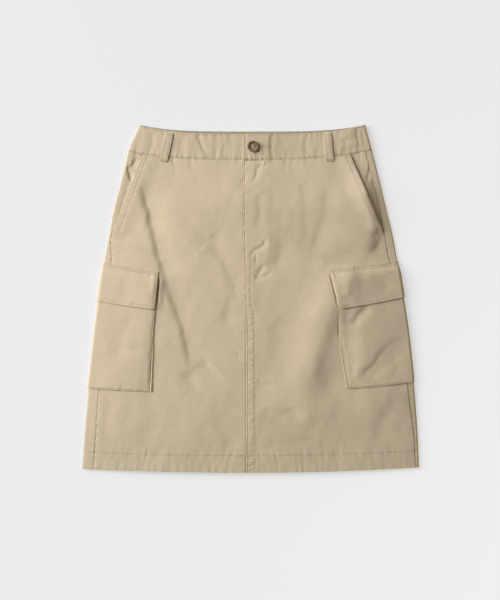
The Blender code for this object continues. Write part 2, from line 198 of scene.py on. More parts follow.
POCKET_EDGES = {
    Side.LEFT: (
        EdgePoint(44, 140.6),
        EdgePoint(-10, 146.2),
        EdgePoint(-60, 151.2),
        EdgePoint(-103, 154.6),
        EdgePoint(-145, 156.6),
    ),
    Side.RIGHT: (
        EdgePoint(45, 124.2),
        EdgePoint(-14, 138.2),
        EdgePoint(-70, 140.6),
        EdgePoint(-100, 146.4),
        EdgePoint(-140, 153.4),
    ),
}
BACK_POCKETS = {Side.LEFT: 70.0, Side.RIGHT: 64.0}


class Crease(NamedTuple):
    """A soft crease: the places it runs through, half its width towards the upper left and towards the
    lower right, and its rise, which is below 0 for a trough."""

    path: tuple[tuple[float, float], ...]
    near: float
    far: float
    rise: float


CREASES = (
    Crease(((-169, 184), (-155, 131), (-141, 70), (-128, 30)), 6.5, 26, -3.2),
    Crease(((-140, 62), (-125.5, 20), (-110, -25), (-99, -62), (-92, -94), (-89, -114)), 6.4, 26, -2.1),
    Crease(((-60, -96), (-74, -108), (-92, -120), (-114, -136)), 9, 38, -1.7),
    Crease(((-134, 46), (-137, 0), (-138, -50), (-137, -112)), 10, 18, 0.9),
    Crease(((-90, 102), (-62, 86), (-40, 58), (-24, 19), (-12, -10)), 7, 15, -1.2),
    Crease(((-29, 6), (-33, -14), (-37, -45)), 6, 12, -0.8),
    Crease(((-22, -88), (-11, -87)), 3, 4, -0.6),
    Crease(((8, -128), (24, -133), (40, -129)), 3, 6, -0.7),
    Crease(((14, -172), (42, -180), (66, -176), (92, -184)), 7, 20, -1.2),
    Crease(((-40, 150), (-52, 96), (-58, 40)), 14, 20, -0.6),
    Crease(((-152, 40), (-149, 24), (-152, 6)), 3, 5, 0.7),
    Crease(((36, 180), (35, 140), (33, 100)), 7, 16, -0.6),
    Crease(((80, 192), (86, 128), (89, 66)), 6, 15, -0.6),
    Crease(((125, 178), (110, 108), (91, 62)), 8, 16, -1.1),
    Crease(((52, 150), (47, 90), (38, 40)), 8, 14, -0.5),
    Crease(((174, 204), (192, 142), (184, 100), (168, 56)), 44, 18, 5.2),
    Crease(((22, 211), (11.4, 203), (9.0, 192), (5.4, 184.5), (-6, 177)), 2.0, 4.0, -0.95),
    Crease(((11, 202), (22, 205), (26, 214)), 2.0, 3.6, -0.6),
    Crease(((-5, 188), (-12, 180), (-18, 168)), 2.4, 4.4, -0.6),
    Crease(((16, 168), (15, 138), (12, 98)), 6, 10, -0.8),
    Crease(((28, 116), (27, 72), (22, 36)), 7, 5, 0.35),
    Crease(((23, 94), (21.5, 84), (15.5, 79.5), (3, 72), (0.6, 58)), 2.0, 4.0, -0.95),
    Crease(((8, 71), (8.4, 50)), 1.7, 3.0, -0.7),
    Crease(((23, 54), (13.8, 41), (5.4, 25)), 2.4, 4.4, -0.95),
    Crease(((35, 42), (16.5, 32.5), (4, 28)), 1.9, 3.4, -0.65),
    Crease(((50, 92), (48, 66), (42, 34)), 9, 16, -0.5),
    Crease(((56, -26), (30, -62)), 10, 20, -0.8),
    Crease(((150, 54), (146, 40), (124, -14), (110, -50), (99, -91), (85, -140), (64, -186)), 34, 26, 5.4),
    Crease(((134, -42), (120, -92), (108, -150)), 14, 26, -0.8),
    Crease(((60, -30), (44, -84), (38, -130)), 18, 26, -0.6),
    Crease(((6, -174), (50, -182), (104, -176), (150, -150)), 30, 16, 1.4),
    Crease(((18, -222), (66, -226), (108, -216)), 10, 12, -0.8),
    Crease(((-206, -168), (-150, -196), (-92, -206)), 15, 22, -0.9),
    Crease(((-60, -180), (-36, -214), (-30, -240)), 9, 12, -0.6),
    Crease(((211, 94), (202, 88.5), (188, 68)), 4.5, 9, -1.1),
    Crease(((200, 104), (190, 96)), 3.2, 5, -0.6),
    Crease(((232, -154), (206, -190), (190, -236)), 11, 14, -0.9),
    Crease(((-216, -150), (-222, -196), (-226, -238)), 8, 12, -0.6),
)
POCKET_SLOTS = {
    Side.LEFT: (
        Crease(((-141.2, 34), (-143.2, 10), (-145.6, -14)), 1.3, 1.3, -2.6),
        Crease(((-137.2, 34), (-138.8, 10), (-141.2, -14)), 2.0, 4, 1.0),
        Crease(((-146.8, -18), (-149.6, -60), (-152, -130)), 1.2, 1.2, -0.8),
    ),
    Side.RIGHT: (
        Crease(((122.9, 40), (130.2, 12), (136.6, -16)), 1.2, 1.2, -2.2),
        Crease(((135.4, -20), (139, -70), (149, -130)), 1.2, 1.2, -0.8),
    ),
}
BAND_CREASES = (
    Crease(((-84, 256), (-77, 240), (-66.5, 216)), 2.2, 5, -1.5),
    Crease(((-108, 250), (-109, 218)), 2.5, 5, -0.5),
    Crease(((32.0, 258), (31.6, 236), (32.6, 212)), 1.8, 4, -1.5),
    Crease(((40, 236), (43, 216)), 2.0, 4, -0.8),
    Crease(((56, 232), (58, 214)), 2.2, 4, -0.7),
    Crease(((163, 268), (170, 231)), 2.4, 4, -1.2),
    Crease(((174, 264), (178, 236)), 3.0, 4, -0.9),
    Crease(((-150, 262), (-152, 240), (-158, 224)), 3.0, 5, -0.6),
    Crease(((-40, 240), (-44, 214)), 2.6, 5, -0.8),
    Crease(((-54, 236), (-57, 214)), 2.2, 4, -0.5),
    Crease(((84, 252), (88, 220)), 3.0, 5, -0.7),
    Crease(((104, 236), (106, 216)), 2.2, 4, -0.8),
    Crease(((146, 250), (148, 222)), 2.4, 5, -0.7),
    Crease(((150, 268), (160, 228)), 24, 16, 2.2),
)
POCKET_CREASES = {
    Side.LEFT: (
        Crease(((-150, -74), (-186, -78), (-214, -70)), 4, 6, -0.45),
        Crease(((-176, -20), (-196, -60), (-200, -104)), 12, 16, -0.7),
    ),
    Side.RIGHT: (
        Crease(((184, -12), (170, -24), (155, -46)), 5, 9, -1.5),
        Crease(((248, -60), (224, -76), (206, -90), (194, -106), (180, -118), (168, -134)), 8, 15, -2.0),
        Crease(((170, -96), (164, -128)), 5, 8, 0.7),
        Crease(((232, -100), (222, -126)), 6, 8, -0.5),
    ),
}
FLAP_CREASES = {
    Side.LEFT: (
        Crease(((-148, 37), (-158, 33)), 2.0, 3, -0.7),
        Crease(((-196, 40), (-190, 14), (-194, -6)), 9, 14, -0.4),
    ),
    Side.RIGHT: (
        Crease(((152, 30), (149, 0)), 6, 5, 0.7),
        Crease(((206, 40), (214, 10)), 10, 14, -0.5),
    ),
}
BACK_CREASES = (
    Crease(((-60, 190), (-84, 120), (-120, 60)), 9, 16, 0.9),
    Crease(((40, 196), (66, 128), (80, 40)), 8, 18, 0.8),
    Crease(((-20, 40), (-34, -30), (-70, -96)), 10, 16, 1.0),
    Crease(((26, 10), (52, -60), (60, -150)), 12, 20, 0.8),
    Crease(((-110, -60), (-96, -130), (-120, -200)), 12, 18, 0.7),
    Crease(((120, 150), (104, 92), (110, 20)), 9, 14, 0.7),
    Crease(((-140, -210), (-60, -226), (20, -214)), 12, 16, 0.6),
)
FACING_CREASES = (
    Crease(((188, 208), (184, 192), (179, 178)), 2.6, 4, -1.3),
    Crease(((199, 148), (206, 120), (212, 98)), 5, 6, -0.8),
    Crease(((194, 212), (191, 196)), 2.6, 4, -0.8),
    Crease(((-191, 207), (-188, 194), (-182, 178)), 2.4, 4.4, -2.0),
    Crease(((-177, 218), (-181, 209), (-186, 200)), 2.2, 4.0, -1.0),
)
AWAY_FROM_LIGHT = np.array([0.83, -0.56])


class Bar(NamedTuple):
    """A bar of close stitches: where it starts and ends, and its width."""

    start: tuple[float, float]
    end: tuple[float, float]
    width: float


BARS = {
    "front_right": (
        Bar((-0.4, 63), (-0.6, 20), 1.5),
        Bar((6.4, 66), (6.4, 56), 1.2),
        Bar((-7.5, -258), (2, -258), 1.4),
    ),
    "waistband_right": (Bar((14.5, 237.1), (28.5, 237.1), 1.5), Bar((14.5, 234.5), (28.5, 234.5), 1.5)),
    "belt_loop_front_left": (Bar((-139, 213), (-131, 213), 1.6), Bar((-128, 254), (-121, 254), 1.6)),
    "belt_loop_front_right": (Bar((120, 213), (128.5, 213), 1.6), Bar((115.5, 254), (123.5, 254), 1.6)),
    "cargo_pocket_left": (Bar((-237, -140.2), (-229, -140.6), 1.5),),
    "cargo_flap_left": (Bar((-147, 34), (-147, 28), 1.4),),
    "cargo_flap_right": (Bar((129, 38), (131, 32), 1.4),),
}


class LoopPlace(NamedTuple):
    """A belt loop: the node it stands for, and the middles of its top and bottom ends."""

    node: str
    top_x: float
    top_y: float
    bottom_x: float
    bottom_y: float
    on_back: bool

    @property
    def side(self) -> Side:
        """The half that the loop is on; the centre back's counts as the right one's."""
        return Side.LEFT if self.top_x < 0 else Side.RIGHT


LOOPS = (
    LoopPlace("belt_loop_front_left", -124.3, 257.5, -135.0, 210.0, False),
    LoopPlace("belt_loop_front_right", 119.4, 257.5, 124.4, 210.5, False),
    LoopPlace("belt_loop_back_left", -92.0, 258.5, -95.0, 220.5, True),
    LoopPlace("belt_loop_back_centre", 0.0, 258.5, 0.0, 220.5, True),
    LoopPlace("belt_loop_back_right", 92.0, 258.5, 95.0, 220.5, True),
)


def ease(low: float, high: float, value: Array) -> Array:
    """Blends softly from 0 to 1.

    Args:
        low: the value up to which the result is 0.
        high: the value from which the result is 1.
        value: where to read the blend.

    Returns:
        The blend at each value.
    """
    share = np.clip((np.asarray(value, float) - low) / (high - low), 0, 1)
    return share * share * (3 - 2 * share)


def ripple(along: Array, pitch: float, seed: int) -> Array:
    """A soft, uneven wave along a seam.

    Args:
        along: distances along the seam.
        pitch: about how far apart its humps are.
        seed: chooses the wave.

    Returns:
        Heights from -1 to 1.
    """
    place = (along - along.min()) / (pitch / 2)
    knots = np.random.default_rng(seed).uniform(-1, 1, int(place.max()) + 3)
    first = place.astype(int)
    share = place - first
    share = share * share * (3 - 2 * share)
    return knots[first] * (1 - share) + knots[first + 1] * share


def rolling(x: Array, y: Array, length: float, seed: int) -> Array:
    """A soft, even unevenness over a surface, made of crossing wave trains.

    Args:
        x: places across.
        y: places up.
        length: about how far apart its humps are.
        seed: chooses the waves.

    Returns:
        Heights of about -1 to 1.
    """
    draw, trains = np.random.default_rng(seed), 11
    total = np.zeros(np.broadcast(x, y).shape)
    for _ in range(trains):
        angle, phase, stretch = draw.uniform(0, math.pi), draw.uniform(0, math.tau), draw.uniform(0.75, 1.6)
        run = x * math.cos(angle) + y * math.sin(angle)
        total += np.sin(math.tau * run / (length * stretch) + phase)
    return total / math.sqrt(2 * trains)


def curve_through(places: tuple[tuple[float, float], ...]) -> Array:
    """Draws a smooth curve through a few places.

    Args:
        places: the places, in order.

    Returns:
        The curve's points.
    """
    given = np.array(places, float)
    ends = np.concatenate(([2 * given[0] - given[1]], given, [2 * given[-1] - given[-2]]))
    steps = 7
    share = np.linspace(0, 1, steps, endpoint=False)[:, None]
    pieces = []
    for before, start, end, after in zip(ends, ends[1:], ends[2:], ends[3:]):
        bend = 2 * before - 5 * start + 4 * end - after
        twist = 3 * (start - end) + after - before
        pieces.append(start + 0.5 * share * (end - before + share * (bend + share * twist)))
    return np.concatenate([*pieces, given[-1:]])


def crease_relief(creases: tuple[Crease, ...], x: Array, y: Array, seed: int) -> Array:
    """What creases add to a surface's height.

    Args:
        creases: the creases on it.
        x: places across.
        y: places up.
        seed: chooses how unevenly they run.

    Returns:
        The height added at each place.
    """
    total = np.zeros(x.shape)
    waves = (rolling(x, y, 30, seed), rolling(x, y, 30, seed + 1))
    for number, crease in enumerate(creases):
        line = curve_through(crease.path)
        reach, sway = 2.6 * max(crease.near, crease.far), min(0.9, 0.16 * min(crease.near, crease.far))
        uneven = np.stack([x + sway * waves[0], y + sway * waves[1]], axis=-1)
        inside = np.all((uneven > line.min(axis=0) - reach) & (uneven < line.max(axis=0) + reach), axis=-1)
        if not inside.any():
            continue
        place = uneven[inside]
        nearest = np.full(len(place), np.inf)
        across = np.zeros(len(place))
        share = np.zeros(len(place))
        for step, (start, end) in enumerate(zip(line, line[1:])):
            run = end - start
            square = np.array([-run[1], run[0]])
            square *= np.sign(square @ AWAY_FROM_LIGHT)
            part = np.clip((place - start) @ run / (run @ run), 0, 1)
            gap = place - start - part[:, None] * run
            distance = np.hypot(gap[:, 0], gap[:, 1])
            closer = distance < nearest
            nearest = np.where(closer, distance, nearest)
            across = np.where(closer, np.sign(gap @ square) * distance, across)
            share = np.where(closer, (step + part) / (len(line) - 1), share)
        swell = ease(0, 0.22, share) * ease(0, 0.3, 1 - share)
        swell *= 1 + 0.22 * ripple(share * 60, 22, seed + number)
        width = np.where(across < 0, crease.near, crease.far)
        total[inside] += crease.rise * swell * np.exp(-((across / width) ** 2))
    return total


class Focus(NamedTuple):
    """A place along a piece where its net is finer: where, how fine, and how far that reaches."""

    place: float
    spacing: float
    reach: float


def graded(length: float, coarse: float, focuses: tuple[Focus, ...]) -> Array:
    """Divides a length into steps that are finer at some places.

    Args:
        length: the length to divide.
        coarse: the usual step.
        focuses: the places with finer steps.

    Returns:
        Shares of the length, from 0 to 1.
    """
    places = np.linspace(0, length, 4001)
    spacing = np.full(places.shape, coarse)
    for focus in focuses:
        away = ease(0, focus.reach, np.abs(places - focus.place))
        spacing = np.minimum(spacing, focus.spacing + (coarse - focus.spacing) * away)
    counted = np.concatenate(([0], np.cumsum(np.diff(places) / spacing[1:])))
    steps = max(1, round(counted[-1]))
    return np.interp(np.linspace(0, counted[-1], steps + 1), counted, places) / length


@dataclass(frozen=True)
class FoldShape:
    """How cloth goes round a side fold: a long quarter round above and a short one beneath."""

    top_reach: float
    under_reach: float
    edge_height: float
    top_height: float

    @property
    def top_arc(self) -> float:
        """The length of cloth in the upper quarter."""
        return math.pi / 2 * math.sqrt((self.top_reach**2 + (self.top_height - self.edge_height) ** 2) / 2)

    @property
    def under_arc(self) -> float:
        """The length of cloth in the lower quarter."""
        return math.pi / 2 * math.sqrt((self.under_reach**2 + self.edge_height**2) / 2)

    def arc(self, inset: Array) -> Array:
        """The cloth from the fold's edge to a place on the front.

        Args:
            inset: how far in from the edge the place is, seen from above.

        Returns:
            The length over the cloth.
        """
        turn = np.arccos(np.clip(1 - inset / self.top_reach, -1, 1)) / (math.pi / 2)
        return np.where(inset < self.top_reach, self.top_arc * turn, self.top_arc + inset - self.top_reach)

    def inset(self, arc: Array) -> Array:
        """How far in from the fold's edge a place is, seen from above.

        Args:
            arc: the length of cloth to it, below 0 on the back.

        Returns:
            The distance in from the edge.
        """
        above = self.top_reach * (1 - np.cos(math.pi / 2 * np.clip(arc / self.top_arc, 0, 1)))
        above += np.maximum(arc - self.top_arc, 0)
        beneath = self.under_reach * (1 - np.cos(math.pi / 2 * np.clip(-arc / self.under_arc, 0, 1)))
        beneath += np.maximum(-arc - self.under_arc, 0)
        return np.where(arc >= 0, above, beneath)

    def height(self, arc: Array, level: Array) -> Array:
        """The height of the cloth's outer face.

        Args:
            arc: the cloth from the fold's edge, below 0 on the back.
            level: the height of the front there.

        Returns:
            The height over what holds the cloth up.
        """
        turn = math.pi / 2 * np.clip(arc / self.top_arc, 0, 1)
        above = self.edge_height + (self.top_height - self.edge_height) * np.sin(turn)
        beneath = self.edge_height * (1 - np.sin(math.pi / 2 * np.clip(-arc / self.under_arc, 0, 1)))
        return np.where(arc >= self.top_arc, level, np.where(arc >= 0, above, beneath))


BODY_FOLD = FoldShape(top_reach=4.4, under_reach=2.6, edge_height=2.3, top_height=4.0)
BAND_FOLD = FoldShape(top_reach=5.4, under_reach=3.0, edge_height=2.9, top_height=4.7)


class Rows(NamedTuple):
    """The rows of a net: the cross line above each, and its share of the way to the next line."""

    upper: Array
    share: Array


class Outline:
    """A side fold and its side seam, on smooth curves that never overshoot the levels given for them."""

    def __init__(self, levels: tuple[Level, ...], side: Side) -> None:
        """Draws the curves of one half.

        Args:
            levels: the levels, from the top down.
            side: the half.
        """
        self.heights = np.linspace(levels[-1].y, levels[0].y, 1100)
        self.fold_curve = self._curve(levels, f"{side.word}_fold")
        self.seam_curve = self._curve(levels, f"{side.word}_seam")

    def _curve(self, levels: tuple[Level, ...], column: str) -> Array:
        """One column of the levels at every height.

        Args:
            levels: the levels, from the top down.
            column: the name of the column.

        Returns:
            Its value at each of the heights.
        """
        y = np.array([level.y for level in levels])[::-1]
        value = np.array([getattr(level, column) for level in levels])[::-1]
        slope = np.diff(value) / np.diff(y)
        before, after = slope[:-1], slope[1:]
        both = np.where(before + after == 0, 1, before + after)
        inner = np.where(before * after > 0, 2 * before * after / both, 0)
        tangent = np.concatenate((slope[:1], inner, slope[-1:]))
        place = np.clip(np.searchsorted(y, self.heights, side="right") - 1, 0, len(y) - 2)
        span = y[place + 1] - y[place]
        share = (self.heights - y[place]) / span
        start = value[place] * (1 + 2 * share) * (1 - share) ** 2
        end = value[place + 1] * (3 - 2 * share) * share**2
        lean = tangent[place] * share * (1 - share) ** 2 - tangent[place + 1] * (1 - share) * share**2
        return start + end + span * lean

    def fold(self, y: Array) -> Array:
        """How far from the middle the side fold is at the heights y."""
        return np.interp(y, self.heights, self.fold_curve)

    def seam(self, y: Array) -> Array:
        """How far in over the cloth from the fold the side seam is at the heights y."""
        return np.interp(y, self.heights, self.seam_curve)


@dataclass
class HalfForm:
    """One half of the flattened tube that every cloth piece lies on."""

    side: Side
    lowest_front: float = 2.0
    band_height: float = 4.9
    band_blend: float = 50.0
    crown: float = 8.6
    left_reach: float = 88.0
    right_reach: float = 68.0
    crown_at_waist: float = 0.08
    lap_rise: float = 0.6
    seam_lap_rise: float = 0.35
    lap_sink: float = 0.45
    band_lap_rise: float = 2.0
    slant_rise: float = 1.0
    slant_bulge: float = 1.7
    pocket_clear: float = 6.0
    pocket_slope: float = 28.0
    seed: int = 11

    def __post_init__(self) -> None:
        """Draws the half's outline."""
        self.outline = Outline(LEVELS, self.side)

    def middle(self, name: str) -> float:
        """The height in the middle of the front of a named cross line."""
        return getattr(CROSS_LINES[LINE_NAMES.index(name)], f"{self.side.word}_middle")

    def rows(self, start: str, end: str, coarse: float, focuses: tuple[Focus, ...] = ()) -> Rows:
        """Divides the skirt between two cross lines into rows.

        Args:
            start: the name of the upper cross line.
            end: the name of the lower one.
            coarse: the usual distance between rows.
            focuses: where, measured down from the upper line, rows are closer together.

        Returns:
            The rows, from the top down.
        """
        top, bottom = self.middle(start), self.middle(end)
        heights = top - graded(top - bottom, coarse, focuses) * (top - bottom)
        lines = line_column(f"{self.side.word}_middle")
        upper = np.clip(np.searchsorted(-lines, -heights, side="right") - 1, 0, len(lines) - 2)
        return Rows(upper, (lines[upper] - heights) / (lines[upper] - lines[upper + 1]))

    def _line_height(self, lines: Array, distance: Array, under: Array) -> Array:
        """The heights y of cross lines.

        Args:
            lines: the number of the cross line for each row.
            distance: how far from the middle.
            under: whether each place is on the back.

        Returns:
            The height of each row's line at its places.
        """
        names = (f"{self.side.word}_middle", f"{self.side.word}_fold", "back_middle", "bow")
        front, at_fold, back, bow = (line_column(name)[lines][:, None] for name in names)
        middle = np.where(under, back, front)
        share = np.clip(distance / self.outline.fold(at_fold), 0, 1)
        return middle + (at_fold - middle) * share**bow

    def row_height(self, rows: Rows, distance: Array, under: Array) -> Array:
        """The heights y of a net's rows.

        Args:
            rows: the rows.
            distance: distances from the middle, one row of them for each row.
            under: whether each place is on the back.

        Returns:
            The height of each place.
        """
        above = self._line_height(rows.upper, distance, under)
        below = self._line_height(rows.upper + 1, distance, under)
        return above + (below - above) * rows.share[:, None]

    def lift(self, rows: Rows, distance: Array, y: Array) -> Array:
        """How far the belt loops and wrapped pockets beneath hold the cloth up.

        Args:
            rows: the rows.
            distance: how far from the middle.
            y: heights up the skirt.

        Returns:
            The lift at each place.
        """
        loops, pockets = (
            (value[rows.upper] * (1 - rows.share) + value[rows.upper + 1] * rows.share)[:, None]
            for value in (line_column("loop_lift"), line_column("pocket_lift"))
        )
        inset = self.outline.fold(y) - distance
        edge = BACK_POCKETS[self.side] + self.pocket_clear
        near = 1 - ease(edge, edge + self.pocket_slope, inset)
        return loops + pockets * near

    def relief(self, x: Array, y: Array) -> Array:
        """The creases and the small unevenness of the front.

        Args:
            x: places across.
            y: places up.

        Returns:
            The height added at each place.
        """
        soft = 0.42 * rolling(x, y, 88, self.seed) + 0.13 * rolling(x, y, 27, self.seed + 1)
        soft += 0.05 * rolling(x, y, 13, self.seed + 4)
        return soft + crease_relief(CREASES, x, y, self.seed + 2)

    def front_level(self, distance: Array, y: Array) -> Array:
        """The height of the front's outer face over what holds it up.

        Args:
            distance: how far from the middle.
            y: heights up the skirt.

        Returns:
            The heights.
        """
        inset = self.outline.fold(y) - distance
        at_waist = self.crown_at_waist
        along = at_waist + (1 - at_waist) * ease(230, 130, y)
        along *= 0.35 + 0.65 * ease(-285, -170, y)
        reach = self.left_reach if self.side is Side.LEFT else self.right_reach
        crown = self.crown * (1 - np.exp(-np.maximum(inset - BODY_FOLD.top_reach, 0) / reach)) * along
        relief = self.relief(self.side.value * distance, y) * ease(6, 30, inset)
        return np.maximum(BODY_FOLD.top_height + crown + relief, self.lowest_front)

    def band_level(self, distance: Array, y: Array) -> Array:
        """The height of the waistband's outer face on the front, over what holds it up.

        Args:
            distance: how far from the middle.
            y: heights up the skirt.

        Returns:
            The heights.
        """
        inset = self.outline.fold(y) - distance
        level = BAND_FOLD.top_height + (self.band_height - BAND_FOLD.top_height) * ease(
            0, self.band_blend, inset - BAND_FOLD.top_reach
        )
        x = self.side.value * distance
        relief = crease_relief(BAND_CREASES, x, y, self.seed + 9)
        relief += 0.3 * rolling(x, 0.3 * y, 15, self.seed + 3)
        level += 0.65 * relief * ease(3, 16, inset)
        if self.side is Side.RIGHT:
            clear = LAP_EDGE + UNDERLAP + 4
            level += self.band_lap_rise * (1 - ease(clear, clear + 32, distance))
        return level

    def slant(self, y: Array) -> Array:
        """How far from the middle the hip pocket's slanted edge is.

        Args:
            y: heights up the skirt.

        Returns:
            The distance, which follows the side seam below the slant's end.
        """
        shape = SLANTS[self.side]
        end = self.seam_distance(np.array(shape.end_y))
        share = (shape.top_y - y) / (shape.top_y - shape.end_y)
        return np.where(y > shape.end_y, shape.top + (end - shape.top) * share, self.seam_distance(y))

    def seam_distance(self, y: Array) -> Array:
        """How far from the middle the side seam is, seen from above, at the heights y."""
        return self.outline.fold(y) - BODY_FOLD.inset(self.outline.seam(y))

    def pocket_edge(self, y: Array) -> Array:
        """How far from the middle the cargo pocket's inner edge is at the heights y."""
        points = sorted(POCKET_EDGES[self.side])
        return np.interp(y, [point.y for point in points], [point.distance for point in points])

    def arc_at(self, distance: Array, y: Array, shape: FoldShape = BODY_FOLD) -> Array:
        """The cloth from the fold's edge to a distance from the middle, on the front."""
        return shape.arc(self.outline.fold(y) - distance)

    def centre_arc(self, y: Array, shape: FoldShape = BODY_FOLD) -> Array:
        """The cloth from the fold's edge to the centre back, below 0."""
        return -(shape.under_arc + self.outline.fold(y) - shape.under_reach)

    def net(
        self,
        rows: Rows,
        shares: Array,
        reach: Callable[[Array], tuple[Array, Array]],
        level: Callable[[Array, Array], Array] | None = None,
        shape: FoldShape = BODY_FOLD,
    ) -> Array:
        """Lays a net of points over the tube.

        Args:
            rows: the net's rows.
            shares: where the columns are, as shares of the way from the first to the last.
            reach: gives the cloth from the fold's edge to the first and the last, at given heights.
            level: gives the front's height; the front panel's if left out.
            shape: how the cloth goes round the side fold.

        Returns:
            The points, by row, column and axis.
        """
        level = level or self.front_level
        y = np.array([[self.middle("waist_seam")]] * len(rows.share))
        for _ in range(7):
            first, last = reach(y)
            arc = first + (last - first) * shares
            distance = self.outline.fold(y) - shape.inset(arc)
            y = self.row_height(rows, distance, arc < 0)
        front = level(distance, y)
        z = self.lift(rows, distance, y) + shape.height(arc, front)
        return np.stack([self.side.value * distance, y, z], axis=-1)


class Seam(NamedTuple):
    """A row of stitches beside an edge: how far in, between which heights, how deep it draws the cloth
    in, how strongly and how closely it puckers, how far the puckers reach, whether thread shows, and how
    strongly and how far to each side fine ropes cross it."""

    edge: Edge
    inset: float
    lowest: float = -1000.0
    highest: float = 1000.0
    groove: float = 0.35
    pucker: float = 0.22
    pitch: float = 8.0
    reach: float = 6.0
    slant: float = 0.4
    stitched: bool = True
    rope: float = 0.0
    rope_reach: float = 3.0


def unit(vectors: Array) -> Array:
    """The vectors, each made one long."""
    return vectors / np.maximum(np.linalg.norm(vectors, axis=-1, keepdims=True), 1e-9)


def lengths_along(points: Array, axis: int) -> Array:
    """The length of each line of a net up to each of its points.

    Args:
        points: the net's points.
        axis: 0 for lines down the net, 1 for lines across it.

    Returns:
        The lengths, in the net's rows and columns.
    """
    steps = np.linalg.norm(np.diff(points, axis=axis), axis=2)
    start = np.zeros_like(np.take(steps, [0], axis=axis))
    return np.concatenate((start, np.cumsum(steps, axis=axis)), axis=axis)


def deselect() -> None:
    """Leaves nothing selected."""
    for other in bpy.context.scene.objects:
        other.select_set(False)


def only(piece: Object) -> None:
    """Makes an object the only selected one, and the active one.

    Args:
        piece: the object.
    """
    deselect()
    piece.select_set(True)
    bpy.context.view_layer.objects.active = piece


def placed(name: str, data: bpy.types.ID) -> Object:
    """Puts something in the scene.

    Args:
        name: the object's name.
        data: its mesh, light or camera.

    Returns:
        The object.
    """
    made = bpy.data.objects.new(name, data)
    bpy.context.scene.collection.objects.link(made)
    return made


# The marks each cloth carries to its material: pressed darkens seam grooves, partly as dirt and partly as
# painted shade, and darkens the waistband's inner strip as painted shade; worn lightens rubbed edges; roped
# and along shape the fine ropes.
MARKS = ("pressed", "worn", "roped", "along")


